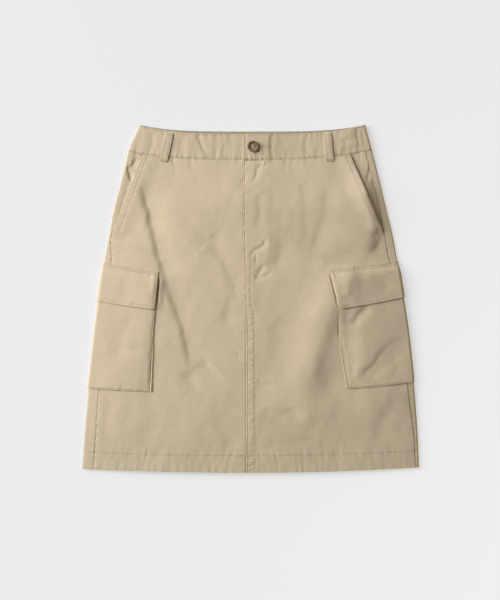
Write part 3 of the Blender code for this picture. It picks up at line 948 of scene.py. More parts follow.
@dataclass
class Cloth:
    """A piece of cloth: a net of points on its outer face, and what sewing does to it."""

    side: Side
    points: Array
    thickness: float = TWILL
    rounded: tuple[Edge, ...] = ()
    seams: tuple[Seam, ...] = ()
    seed: int = 5
    groove_width: float = 0.8
    full_groove: float = 0.2
    round_width: float = 0.9
    round_depth: float = 0.5

    def __post_init__(self) -> None:
        """Measures the net, and presses its seams and rounds its edges."""
        across, down = lengths_along(self.points, 1), lengths_along(self.points, 0)
        self.distance = {
            Edge.FIRST: across,
            Edge.LAST: across[:, -1:] - across,
            Edge.TOP: down,
            Edge.BOTTOM: down[-1:] - down,
        }
        self.pressed, self.worn, self.roped, self.along = np.zeros((4, *across.shape))
        press = self._sewn() - self._rounding()
        self.points = self.points + self.outward() * press[..., None]

    def outward(self) -> Array:
        """The direction straight out of the cloth at each point."""
        across, down = np.gradient(self.points, axis=1), np.gradient(self.points, axis=0)
        return unit(-self.side.value * np.cross(across, down))

    def _within(self, seam: Seam) -> Array:
        """How far a seam's pull counts at each point, between its lowest and highest heights."""
        y, low, high = self.points[..., 1], seam.lowest, seam.highest
        return ease(low - 3, low + 3, y) * ease(high + 3, high - 3, y)

    def _sewn(self) -> Array:
        """The height that the seams' grooves and puckers give each point.

        Returns:
            The heights, in the rows and columns of the net.
        """
        total = np.zeros(self.pressed.shape)
        for number, seam in enumerate(self.seams):
            gap = self.distance[seam.edge] - seam.inset
            lean = self.distance[ALONG[seam.edge]] + seam.slant * gap
            wave = ripple(lean, seam.pitch, self.seed + number)
            within = self._within(seam)
            groove = np.exp(-((gap / self.groove_width) ** 2)) * within
            near = np.exp(-((gap / seam.reach) ** 2)) * within
            total += seam.pucker * wave * near - seam.groove * groove * (1 - 0.3 * wave)
            # Seam grooves are darkened in colour, partly as dirt and partly as painted shade where the groove
            # lies in shadow.
            self.pressed = np.maximum(self.pressed, groove * min(1.0, seam.groove / self.full_groove))
            rope = seam.rope * np.exp(-((gap / seam.rope_reach) ** 4)) * within
            self.along = np.where(rope > self.roped, lean + 31 * number, self.along)
            self.roped = np.maximum(self.roped, rope)
            self.worn = np.maximum(self.worn, 0.55 * np.clip(wave, 0, 1) * near)
        return total

    def _rounding(self) -> Array:
        """How far each point is lowered where a folded edge rounds away.

        Returns:
            The distances, in the rows and columns of the net.
        """
        total = np.zeros(self.pressed.shape)
        for edge in self.rounded:
            share = np.clip(1 - self.distance[edge] / self.round_width, 0, 1)
            total = np.maximum(total, self.round_depth * self.thickness * (1 - np.sqrt(1 - share**2)))
            self.worn = np.maximum(self.worn, np.exp(-((self.distance[edge] / 1.3) ** 2)))
        return total

    def moved(self, out: Array | float) -> None:
        """Moves the points straight out of the cloth by a distance, which may differ at each."""
        self.points = self.points + self.outward() * np.broadcast_to(out, self.pressed.shape)[..., None]

    def keep_above_floor(self) -> None:
        """Raises what is below the floor to it."""
        self.points[..., 2] = np.maximum(self.points[..., 2], 0)

    def line(self, edge: Edge, inset: float) -> tuple[Array, Array]:
        """A line on the cloth beside an edge.

        Args:
            edge: the edge.
            inset: how far in from it the line runs.

        Returns:
            The line's points, and the direction out of the cloth at each.
        """
        points, normals, distance = self.points, self.outward(), self.distance[edge]
        if edge in (Edge.TOP, Edge.BOTTOM):
            points, normals, distance = points.swapaxes(0, 1), normals.swapaxes(0, 1), distance.T
        rising = distance if edge in (Edge.TOP, Edge.FIRST) else distance[:, ::-1]
        place = np.array([np.interp(inset, row, np.arange(row.size)) for row in rising])
        if edge in (Edge.BOTTOM, Edge.LAST):
            place = distance.shape[1] - 1 - place
        first = np.clip(place.astype(int), 0, distance.shape[1] - 2)
        share = (place - first)[:, None]
        lane = np.arange(len(place))
        found = [net[lane, first] * (1 - share) + net[lane, first + 1] * share for net in (points, normals)]
        return found[0], found[1]

    def area(self) -> float:
        """Measures the cloth.

        Returns:
            Its area in square metres.
        """
        falling = self.points[1:, 1:] - self.points[:-1, :-1]
        rising = self.points[1:, :-1] - self.points[:-1, 1:]
        return float(np.linalg.norm(np.cross(falling, rising), axis=2).sum() / 2) * MM * MM

    def cut(self) -> tuple[float, float]:
        """The width and length of the rectangle that the piece is cut from, in metres."""
        across, down = self.distance[Edge.FIRST], self.distance[Edge.TOP]
        return float(across[:, -1].max()) * MM, float(down[-1].max()) * MM

    def to_object(self, name: str) -> Object:
        """Makes the piece a mesh with a wall behind it.

        Args:
            name: the object's name.

        Returns:
            The finished object.
        """
        rows, columns = self.pressed.shape
        number = np.arange(rows * columns).reshape(rows, columns)
        corners = [number[:-1, :-1], number[1:, :-1], number[1:, 1:], number[:-1, 1:]]
        faces = np.stack(corners if self.side is Side.RIGHT else corners[::-1], axis=-1).reshape(-1, 4)
        mesh = bpy.data.meshes.new(name)
        mesh.from_pydata((self.points.reshape(-1, 3) * MM).tolist(), [], faces.tolist())
        cloth_map = mesh.uv_layers.new(name="cloth")
        places = np.stack([self.distance[Edge.FIRST], -self.distance[Edge.TOP]], axis=-1).reshape(-1, 2) * MM
        cloth_map.data.foreach_set("uv", places[faces.reshape(-1)].ravel())
        for label in MARKS:
            mark = mesh.attributes.new(label, "FLOAT", "POINT")
            mark.data.foreach_set("value", getattr(self, label).ravel())
        piece = placed(name, mesh)
        wall = piece.modifiers.new("wall", "SOLIDIFY")
        wall.thickness = self.thickness * MM
        wall.offset = -1.0
        wall.use_even_offset = False
        only(piece)
        bpy.ops.object.modifier_apply(modifier=wall.name)
        bpy.ops.object.shade_smooth_by_angle(angle=math.radians(50))
        return piece


Made = tuple[Object, Cloth]


def finished(cloth: Cloth, node: str, rests_on: list[str]) -> Made:
    """Makes a cloth an object, hangs it on the root body and hides the frame's node that it stands for.

    Args:
        cloth: the cloth.
        node: the frame's node that it stands for.
        rests_on: not used.

    Returns:
        The object and its cloth.
    """
    piece = cloth.to_object(f"skirt_{node}")
    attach(piece, "root")
    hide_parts(node)
    return piece, cloth


class GroupKind(Enum):
    """The node groups that the materials share."""

    WEAVE = "twill weave"
    TONE = "cloth tone"
    WEAR = "seam wear"
    ROPE = "seam rope"


class Graph:
    """Places and joins the nodes of a material or of a node group."""

    def __init__(self, tree: bpy.types.NodeTree) -> None:
        """Works on the tree."""
        self.tree = tree

    def node(self, kind: str, **settings: object) -> bpy.types.Node:
        """Adds a node.

        Args:
            kind: its type.
            **settings: its properties.

        Returns:
            The node.
        """
        made = self.tree.nodes.new(kind)
        for name, value in settings.items():
            setattr(made, name, value)
        return made

    def feed(self, node: bpy.types.Node, **inputs: object) -> bpy.types.Node:
        """Gives a node's inputs a value or a link each; an underscore in a name stands for a space.

        Args:
            node: the node.
            **inputs: the inputs by name.

        Returns:
            The same node.
        """
        for name, value in inputs.items():
            self.give(node.inputs[name.replace("_", " ")], value)
        return node

    def give(self, socket: Socket, value: object) -> None:
        """Gives an input a link if the value is a socket, and otherwise the value.

        Args:
            socket: the input.
            value: a number, a vector or a socket.
        """
        if isinstance(value, Socket):
            self.tree.links.new(value, socket)
        else:
            socket.default_value = value

    def math(self, operation: str, *values: object) -> Socket:
        """Adds a Math node.

        Args:
            operation: what it does.
            *values: its inputs, each a number or a socket.

        Returns:
            Its result.
        """
        made = self.node("ShaderNodeMath", operation=operation)
        for socket, value in zip(made.inputs, values):
            self.give(socket, value)
        return made.outputs[0]

    def measured(self, operation: str, *vectors: object) -> bpy.types.Node:
        """Adds a Vector Math node.

        Args:
            operation: what it does.
            *vectors: its first inputs, each a vector or a socket.

        Returns:
            The node.
        """
        made = self.node("ShaderNodeVectorMath", operation=operation)
        for socket, vector in zip(made.inputs, vectors):
            self.give(socket, vector)
        return made

    def ranged(
        self, value: Socket, given: tuple[float, float], wanted: tuple[float, float]
    ) -> Socket:
        """Carries a value from one range over to another.

        Args:
            value: the value.
            given: the first range's ends.
            wanted: the second one's ends.

        Returns:
            The value in the second range.
        """
        made = self.feed(self.node("ShaderNodeMapRange"), Value=value, From_Min=given[0], From_Max=given[1])
        return self.feed(made, To_Min=wanted[0], To_Max=wanted[1]).outputs["Result"]

    def scaled(self, colour: Socket, factor: Socket) -> Socket:
        """A colour made lighter or darker by a factor."""
        return self.feed(self.measured("SCALE", colour), Scale=factor).outputs[0]

    def group(self, kind: GroupKind, **inputs: object) -> Socket:
        """Adds a shared node group and gives its first result."""
        node = self.node("ShaderNodeGroup", node_tree=bpy.data.node_groups[kind.value])
        return self.feed(node, **inputs).outputs[0]

    def noise(self, place: Socket, scale: float, detail: float = 2.0) -> Socket:
        """A noise from 0 to 1 over places, with a scale in bumps to the metre."""
        made = self.feed(self.node("ShaderNodeTexNoise"), Vector=place, Scale=scale, Detail=detail)
        return made.outputs["Factor" if "Factor" in made.outputs else "Fac"]


def start_material(name: str, **inputs: object) -> tuple[Material, Graph, bpy.types.Node]:
    """Starts a material.

    Args:
        name: its name.
        **inputs: its shader's inputs by name, with an underscore for a space.

    Returns:
        The material, its graph and its shader.
    """
    made = bpy.data.materials.new(name)
    made.use_nodes = True
    graph = Graph(made.node_tree)
    return made, graph, graph.feed(made.node_tree.nodes["Principled BSDF"], **inputs)


def new_group(kind: GroupKind, takes: dict[str, str], gives: dict[str, str]) -> tuple[Graph, dict, dict]:
    """Starts a node group.

    Args:
        kind: the group.
        takes: the type of each input, by name.
        gives: the type of each output, by name.

    Returns:
        The group's graph, its inputs inside the group, and its outputs inside the group.
    """
    tree = bpy.data.node_groups.new(kind.value, "ShaderNodeTree")
    for names, way in ((takes, "INPUT"), (gives, "OUTPUT")):
        for name, type_name in names.items():
            tree.interface.new_socket(name, in_out=way, socket_type=f"NodeSocket{type_name}")
    graph = Graph(tree)
    start, end = graph.node("NodeGroupInput"), graph.node("NodeGroupOutput")
    return graph, {name: start.outputs[name] for name in takes}, {name: end.inputs[name] for name in gives}


def build_weave() -> None:
    """Builds the twill weave: slanting ribs of yarn, in metres over the cloth."""
    takes = {"Cloth": "Vector", "Rib pitch": "Float", "Yarn pitch": "Float"}
    graph, given, out = new_group(GroupKind.WEAVE, takes, {"Height": "Float"})
    parts = graph.node("ShaderNodeSeparateXYZ")
    graph.give(parts.inputs[0], given["Cloth"])
    across, along = parts.outputs["X"], parts.outputs["Y"]
    lean = math.radians(62)
    waves = []
    for first, second, pitch in (
        (math.sin(lean), -math.cos(lean), given["Rib pitch"]),
        (math.cos(lean), math.sin(lean), given["Yarn pitch"]),
    ):
        run = graph.math("ADD", graph.math("MULTIPLY", across, first), graph.math("MULTIPLY", along, second))
        turns = graph.math("MULTIPLY", graph.math("DIVIDE", run, pitch), math.tau)
        waves.append(graph.math("SINE", turns))
    yarn = graph.math("ADD", graph.math("MULTIPLY", waves[1], 0.3), 0.7)
    height = graph.math("ADD", graph.math("MULTIPLY", graph.math("MULTIPLY", waves[0], yarn), 0.5), 0.5)
    graph.give(out["Height"], height)


def build_tone() -> None:
    """Builds the cloth's uneven tone: soft clouds from washing, slubs along the yarn, and a fine grain."""
    takes = {"Colour": "Color", "Place": "Vector", "Cloth": "Vector", "Clouds": "Float", "Slubs": "Float"}
    graph, given, out = new_group(GroupKind.TONE, takes, {"Colour": "Color"})
    clouds = graph.math("SUBTRACT", graph.noise(given["Place"], 16.0, 3.0), 0.5)
    stretch = graph.measured("MULTIPLY", given["Cloth"], (1.0, 0.12, 1.0))
    slubs = graph.math("SUBTRACT", graph.noise(stretch.outputs[0], 900.0, 2.0), 0.5)
    grain = graph.math("SUBTRACT", graph.noise(given["Cloth"], 420.0, 3.0), 0.5)
    fine = graph.math("MULTIPLY", graph.math("ADD", slubs, grain), given["Slubs"])
    change = graph.math("ADD", graph.math("MULTIPLY", clouds, given["Clouds"]), fine)
    graph.give(out["Colour"], graph.scaled(given["Colour"], graph.math("ADD", change, 1.0)))


def build_wear_and_shade() -> None:
    """Builds the seam marks in colour: darker in the grooves, partly dirt and partly painted shade, darker by
    painted shade on the waistband's inner strip, and rubbed lighter on edges and puckers.
    """
    takes = {"Colour": "Color", "Pressed": "Float", "Worn": "Float", "Shade": "Float", "Rub": "Float"}
    graph, given, out = new_group(GroupKind.WEAR, takes, {"Colour": "Color"})
    dark = graph.math("MULTIPLY", given["Pressed"], given["Shade"])
    light = graph.math("MULTIPLY", given["Worn"], given["Rub"])
    factor = graph.math("ADD", graph.math("SUBTRACT", light, dark), 1.0)
    graph.give(out["Colour"], graph.scaled(given["Colour"], factor))


def build_rope() -> None:
    """Builds the fine ropes that washing leaves across a seam, in millimetres along it."""
    takes = {"Along": "Float", "Roped": "Float", "Pitch": "Float"}
    graph, given, out = new_group(GroupKind.ROPE, takes, {"Height": "Float"})
    turns = graph.math("DIVIDE", given["Along"], given["Pitch"])
    drift = graph.node("ShaderNodeTexNoise", noise_dimensions="1D")
    graph.feed(drift, W=graph.math("MULTIPLY", turns, 0.7), Scale=1.0, Detail=1.0)
    drifted = graph.math("ADD", turns, graph.math("MULTIPLY", drift.outputs[0], 1.6))
    wave = graph.math("SINE", graph.math("MULTIPLY", drifted, math.tau))
    uneven = graph.math("MULTIPLY", wave, graph.math("ADD", drift.outputs[0], 0.4))
    graph.give(out["Height"], graph.math("MULTIPLY", uneven, given["Roped"]))


@dataclass(frozen=True)
class TwillFinish:
    """Washed cotton twill: its colour, and how strongly its weave, clouds, slubs, wear and painted shade
    show.
    """

    name: str
    colour: tuple[float, float, float]
    rib_pitch: float = 0.00085
    yarn_pitch: float = 0.0006
    weave_depth: float = 0.07
    crumple: float = 0.24
    rope_depth: float = 0.13
    rope_pitch: float = 5.6
    clouds: float = 0.16
    slubs: float = 0.07
    shade: float = 0.24
    rub: float = 0.04
    roughness: float = 0.92
    sheen: float = 0.03

    def material(self) -> Material:
        """Makes the material, whose patterns follow the cloth's own map.

        Returns:
            The material.
        """
        made, graph, shader = start_material(
            self.name,
            Roughness=self.roughness,
            Specular_IOR_Level=0.25,
            Sheen_Weight=self.sheen,
            Sheen_Roughness=0.45,
        )
        place = graph.node("ShaderNodeTexCoord").outputs["Object"]
        cloth = graph.node("ShaderNodeUVMap", uv_map="cloth").outputs["UV"]
        pressed, worn, roped, along = (
            graph.node("ShaderNodeAttribute", attribute_name=label).outputs["Fac"] for label in MARKS
        )
        rope = graph.group(GroupKind.ROPE, Along=along, Roped=roped, Pitch=self.rope_pitch)
        pitches = {"Rib_pitch": self.rib_pitch, "Yarn_pitch": self.yarn_pitch}
        weave = graph.group(GroupKind.WEAVE, Cloth=cloth, **pitches)
        looks = {"Clouds": self.clouds, "Slubs": self.slubs, "Colour": (*self.colour, 1)}
        tone = graph.group(GroupKind.TONE, Place=place, Cloth=cloth, **looks)
        # Seam marks in colour: grooves darker, partly as dirt and partly as painted shade; the waistband's
        # inner strip darker as painted shade; rubbed edges lighter.
        marks = {"Pressed": pressed, "Worn": worn}
        wear_and_shade = graph.group(GroupKind.WEAR, Colour=tone, Shade=self.shade, Rub=self.rub, **marks)
        graph.feed(shader, Base_Color=wear_and_shade)
        crumple = graph.math("MULTIPLY", graph.noise(cloth, 130.0, 3.0), self.crumple)
        height = graph.math("ADD", graph.math("MULTIPLY", weave, self.weave_depth), crumple)
        height = graph.math("ADD", height, graph.math("MULTIPLY", rope, self.rope_depth))
        bump = graph.feed(graph.node("ShaderNodeBump"), Strength=1.0, Distance=MM, Height=height)
        graph.feed(shader, Normal=bump.outputs[0])
        return made


@dataclass(frozen=True)
class ThreadFinish:
    """Matt sewing thread."""

    name: str
    colour: tuple[float, float, float]
    roughness: float = 0.75

    def material(self) -> Material:
        """Makes the material, a little uneven from stitch to stitch.

        Returns:
            The material.
        """
        made, graph, shader = start_material(self.name, Roughness=self.roughness)
        place = graph.node("ShaderNodeTexCoord").outputs["Object"]
        colour = (*self.colour, 1)
        tone = graph.group(GroupKind.TONE, Place=place, Cloth=place, Clouds=0.2, Slubs=0.3, Colour=colour)
        graph.feed(shader, Base_Color=tone)
        return made


@dataclass(frozen=True)
class HornFinish:
    """Polished horn with darker and lighter streaks."""

    name: str
    dark: tuple[float, float, float]
    light: tuple[float, float, float]
    roughness: float = 0.34
    coat: float = 0.3

    def material(self) -> Material:
        """Makes the material.

        Returns:
            The material.
        """
        made, graph, shader = start_material(
            self.name, Roughness=self.roughness, Coat_Weight=self.coat, Coat_Roughness=0.2
        )
        place = graph.node("ShaderNodeTexCoord").outputs["Object"]
        turn = (0.0, 0.0, math.radians(35))
        stretch = graph.feed(
            graph.node("ShaderNodeMapping"), Vector=place, Scale=(1.0, 3.2, 1.0), Rotation=turn
        )
        streaks = graph.noise(stretch.outputs[0], 190.0, 4.0)
        ramp = graph.node("ShaderNodeValToRGB")
        stops = ((0.36, self.dark), (0.66, self.light))
        for element, (position, colour) in zip(ramp.color_ramp.elements, stops):
            element.position = position
            element.color = (*colour, 1)
        graph.give(ramp.inputs[0], streaks)
        graph.feed(shader, Base_Color=ramp.outputs[0])
        return made


def lap_edge(y: Array) -> Array:
    """Where the right front's edge lies at heights y: it draws in at the fly's end and again below it."""
    at_fly_end, below = 1.4, 3.0
    return LAP_EDGE + at_fly_end * ease(80, 40, y) + below * ease(20, -60, y)


@dataclass
class Half:
    """A sub-assembly on one half of the skirt."""

    form: HalfForm

    @property
    def side(self) -> Side:
        """The half."""
        return self.form.side


@dataclass
class FrontPanel(Half):
    """One half of the front, from the fly or the centre seam to the slant and the side seam."""

    spacing: float = 1.9
    width: float = 250.0
    fly_end: float = 60.0
    bulge_reach: float = 14.0
    bulge_fade: float = 0.6

    def inner(self, y: Array) -> Array:
        """How far out the inner edge is at heights y: the left panel goes on under the right one."""
        under = SEAM_LAP + (UNDERLAP - SEAM_LAP) * ease(self.fly_end + 2, self.fly_end + 12, y)
        return lap_edge(y) if self.side is Side.RIGHT else -(LAP_EDGE + under)

    def reach(self, y: Array) -> tuple[Array, Array]:
        """The cloth from the fold's edge to the inner edge and to the slant at heights y."""
        return self.form.arc_at(self.inner(y), y), self.form.arc_at(self.form.slant(y), y) + TRIM

    def level(self, distance: Array, y: Array) -> Array:
        """The panel's height: the front's, raised over the hip facing and over the other panel's lap.

        Args:
            distance: how far from the middle.
            y: heights up the skirt.

        Returns:
            The heights.
        """
        form, side = self.form, self.side
        end = SLANTS[side].end_y
        inside = form.slant(y) - distance
        opening = ease(end - 1, end + 14, y)
        rise = form.slant_rise * (1 - ease(11, 34, inside)) * opening
        if side is Side.RIGHT:
            bulge = form.slant_bulge * np.exp(-((inside / self.bulge_reach) ** 2)) * opening
            fade = self.bulge_fade * ease(end + 55, end + 8, y)
            rise += bulge * (1 + ease(218, 190, y) - fade)
            on_fly = ease(self.fly_end - 20, self.fly_end + 12, y)
            clear = LAP_EDGE + SEAM_LAP + (UNDERLAP - SEAM_LAP) * on_fly + 3
            full = form.seam_lap_rise + (form.lap_rise - form.seam_lap_rise) * on_fly
            rise = np.maximum(rise, full * (1 - ease(0, 1, (distance - clear) / (16 + 30 * on_fly))))
        else:
            rise -= form.lap_sink * (1 - ease(-1.5, 0.5, distance + lap_edge(y)))
        slots = crease_relief(POCKET_SLOTS[side], side.value * distance, y, 51)
        return form.front_level(distance, y) + rise + slots

    def seams(self) -> tuple[Seam, ...]:
        """The rows of stitches on the panel.

        Returns:
            Those of every edge, and then those of the inner edge of this half.
        """
        end, bare = SLANTS[self.side].end_y, {"stitched": False}
        tight = 1.6 if self.side is Side.RIGHT else 1.0
        drawn = {"groove": 0.25 * tight, "pucker": 0.3 * tight}
        shared = (
            Seam(Edge.LAST, 1.8, end + 4, groove=0.15, pucker=0.2, pitch=11, reach=6),
            Seam(Edge.LAST, 7.6, end + 6, groove=0.22, pucker=0.22, pitch=8, reach=6, rope=0.5, rope_reach=4),
            Seam(Edge.LAST, 0.2, highest=end - 4, pitch=6, reach=5, **drawn, **bare),
            Seam(Edge.BOTTOM, HEM_DEPTH, groove=0.14, pucker=0.3, pitch=8, reach=8, slant=0.25, rope=0.5),
            Seam(Edge.TOP, 0.0, groove=0.1, pucker=0.4, pitch=11, reach=13, slant=0.15, **bare),
            Seam(Edge.BOTTOM, 0.0, groove=0.0, pucker=0.35, pitch=9, reach=14, slant=0.1, **bare),
        )
        fly, low, inner = self.fly_end, -15.0, Edge.FIRST
        if self.side is Side.LEFT:
            return (
                *shared,
                Seam(inner, SEAM_LAP - 3.9, highest=fly - 70, groove=0.4, pucker=0.15, **bare),
                Seam(inner, UNDERLAP + 0.5, lowest=fly + 14, groove=0.2, pucker=0.15, **bare),
                Seam(inner, SEAM_LAP + 5, highest=fly, groove=0.0, pucker=0.2, **bare),
            )
        return (
            *shared,
            Seam(inner, 1.9, low, groove=0.42, pucker=0.3, pitch=8, reach=4, rope=0.5, rope_reach=2),
            Seam(inner, 2.4, highest=low, groove=0.4, pucker=0.1),
            Seam(inner, 12.5, highest=low, groove=0.4, pucker=0.1),
            Seam(inner, 7.5, highest=low, groove=0.0, pucker=0.2, reach=4, rope=1, rope_reach=5, **bare),
            Seam(inner, 8.8, low, fly, groove=0.3, pucker=0.3, pitch=5.6, reach=4.5, slant=0.8),
        )

    def build(self) -> Made:
        """Builds the panel.

        Returns:
            The panel and its cloth.
        """
        form, side = self.form, self.side
        down = form.middle("waist_seam") - form.middle("hem")
        focuses = (Focus(0, 0.9, 10), Focus(down - HEM_DEPTH, 0.9, 6), Focus(down, 0.6, 7))
        rows = form.rows("waist_seam", "hem", self.spacing, focuses)
        pocket = 152 if side is Side.LEFT else 140
        focuses = (Focus(0, 0.7, 16), Focus(pocket, 0.75, 26), Focus(self.width, 0.6, 14))
        shares = graded(self.width, self.spacing, focuses)
        points = form.net(rows, shares, self.reach, self.level)
        rounded = (Edge.LAST, Edge.BOTTOM) if side is Side.LEFT else (Edge.FIRST, Edge.LAST, Edge.BOTTOM)
        seed = 20 + side.value
        cloth = Cloth(side, points, rounded=rounded, seams=self.seams(), seed=seed, round_depth=0.3)
        return finished(cloth, f"front_{side.word}", ["back_left", "back_right", f"hip_facing_{side.word}"])


@dataclass
class BackPanel(Half):
    """One half of the back, from the side seam round the fold to the centre back seam."""

    spacing: float = 4.0
    width: float = 270.0

    def reach(self, y: Array) -> tuple[Array, Array]:
        """The cloth from the fold's edge to the side seam and to the centre back at heights y."""
        return self.form.outline.seam(y) - TRIM, self.form.centre_arc(y) + TRIM

    def build(self) -> Made:
        """Builds the panel.

        Returns:
            The panel and its cloth.
        """
        form, side = self.form, self.side
        down = form.middle("waist_seam") - form.middle("hem")
        focuses = (Focus(0, 1.2, 10), Focus(down - HEM_DEPTH, 1.2, 6), Focus(down, 0.8, 7))
        rows = form.rows("waist_seam", "hem", 3.0, focuses)
        shares = graded(self.width, self.spacing, (Focus(0, 0.8, 45), Focus(self.width, 0.9, 14)))
        points = form.net(rows, shares, self.reach)
        end = SLANTS[side].end_y
        hip = 0.03 if side is Side.LEFT else 0.25
        side_seam = {"pitch": 6, "reach": 4, "stitched": False}
        seams = (
            Seam(Edge.FIRST, 0.2, highest=end, groove=0.25, pucker=0.3, **side_seam),
            Seam(Edge.FIRST, 0.2, lowest=end, groove=hip, pucker=hip, rope=3 * hip, **side_seam),
            Seam(Edge.BOTTOM, HEM_DEPTH, groove=0.3, pucker=0.15, pitch=10, reach=6),
            Seam(Edge.LAST, 1.8, groove=0.3, pucker=0.0),
        )
        cloth = Cloth(side, points, rounded=(Edge.BOTTOM,), seams=seams, seed=40 + side.value)
        x, y = cloth.points[..., 0], cloth.points[..., 1]
        inside = ease(BODY_FOLD.under_reach, 40, form.outline.fold(y) - side.value * x)
        gathered = crease_relief(BACK_CREASES, x, y, form.seed + 20) * inside * (cloth.points[..., 2] < 2)
        cloth.points[..., 2] += gathered
        cloth.keep_above_floor()
        return finished(cloth, f"back_{side.word}", ["floor"])


@dataclass
class HipFacing(Half):
    """The piece that shows in the hip pocket's opening, sewn into the side seam."""

    width: float = 48.0
    under: float = 9.0
    sink: float = 1.2
    right_share: float = 0.2

    def reach(self, y: Array) -> tuple[Array, Array]:
        """The cloth from the fold's edge to under the slant and to the side seam at heights y."""
        form = self.form
        return form.arc_at(form.slant(y) - self.under, y), form.outline.seam(y) + TRIM

    def level(self, distance: Array, y: Array) -> Array:
        """The facing's height, a little below the front and lower towards the slant's end.

        Args:
            distance: how far from the middle.
            y: heights up the skirt.

        Returns:
            The heights.
        """
        form, side = self.form, self.side
        end = SLANTS[side].end_y
        fading = 1 - ease(end - 1, end + 14, y)
        off_seam = ease(0, 9, form.seam_distance(y) - distance)
        near_slant = 1 - ease(0, 22, distance - form.slant(y))
        crease = crease_relief(FACING_CREASES, side.value * distance, y, 77)
        sink = self.sink * near_slant * off_seam * ease(end, end + 50, y)
        if side is Side.RIGHT:
            sink *= self.right_share
        level = form.front_level(distance, y) - sink - fading + crease
        return np.maximum(level, form.lowest_front - 0.4)

    def build(self) -> Made:
        """Builds the facing.

        Returns:
            The facing and its cloth.
        """
        form, side = self.form, self.side
        rows = form.rows("waist_seam", "slant_end", 1.6, (Focus(0, 0.8, 8),))
        shares = graded(self.width, 1.5, (Focus(self.width, 0.6, 10),))
        points = form.net(rows, shares, self.reach, self.level)
        pucker = 0.1 if side is Side.LEFT else 0.4
        drawn = {"groove": 0.6 * pucker, "pucker": pucker, "rope": 2 * pucker, "rope_reach": 8}
        seams = (
            Seam(Edge.LAST, 0.2, pitch=6, reach=6, slant=0.8, stitched=False, **drawn),
            Seam(Edge.TOP, 0.0, groove=0.1, pucker=0.5, pitch=8, reach=12, stitched=False),
        )
        cloth = Cloth(side, points, seams=seams, seed=60 + side.value)
        return finished(cloth, f"hip_facing_{side.word}", [f"back_{side.word}"])


@dataclass
class Waistband(Half):
    """One half of the waistband, from the fly round the side fold to the centre back."""

    length: float = 380.0
    # How dark the painted shade is on the back half's inner strip along the top edge.
    inside_shade: float = 1.5

    def reach(self, y: Array) -> tuple[Array, Array]:
        """The cloth from the fold's edge to the fly's end and to the centre back at heights y."""
        inner = np.full(y.shape, LAP_EDGE if self.side is Side.RIGHT else -(LAP_EDGE + UNDERLAP))
        return self.form.arc_at(inner, y, BAND_FOLD), self.form.centre_arc(y, BAND_FOLD) + TRIM

    def build(self) -> Made:
        """Builds the half.

        Returns:
            The band and its cloth.
        """
        form, side = self.form, self.side
        depth = form.middle("waist_top") - form.middle("waist_seam")
        rows = form.rows("waist_top", "waist_seam", 1.6, (Focus(0, 0.6, 5), Focus(depth, 0.6, 5)))
        shares = graded(self.length, 1.8, (Focus(0, 0.7, 12), Focus(self.length / 2, 0.9, 30)))
        points = form.net(rows, shares, self.reach, form.band_level, BAND_FOLD)
        ropes = {"rope": 0.6, "rope_reach": 5}
        seams = (
            Seam(Edge.TOP, 1.8, groove=0.2, pucker=0.3, pitch=8, reach=8, slant=0.1),
            Seam(Edge.BOTTOM, 1.8, groove=0.25, pucker=0.42, pitch=7, reach=10, slant=0.1, **ropes),
            Seam(Edge.FIRST, 2.0, groove=0.25, pucker=0.15, pitch=8, reach=4),
        )
        folds = {"rounded": (Edge.TOP, Edge.BOTTOM), "round_width": 1.6, "round_depth": 0.3}
        cloth = Cloth(side, points, BAND_CLOTH, seams=seams, seed=80 + side.value, **folds)
        # Painted shade: the back half's inner face along the top edge, which shows above the front's edge, is
        # darkened in colour as if in shadow.
        under = self.inside_shade * (1 - ease(5, 8, cloth.distance[Edge.TOP]))
        cloth.pressed = np.where(points[..., 2] < BAND_FOLD.edge_height, under, cloth.pressed)
        cloth.keep_above_floor()
        return finished(cloth, f"waistband_{side.word}", [place.node for place in LOOPS if place.on_back])


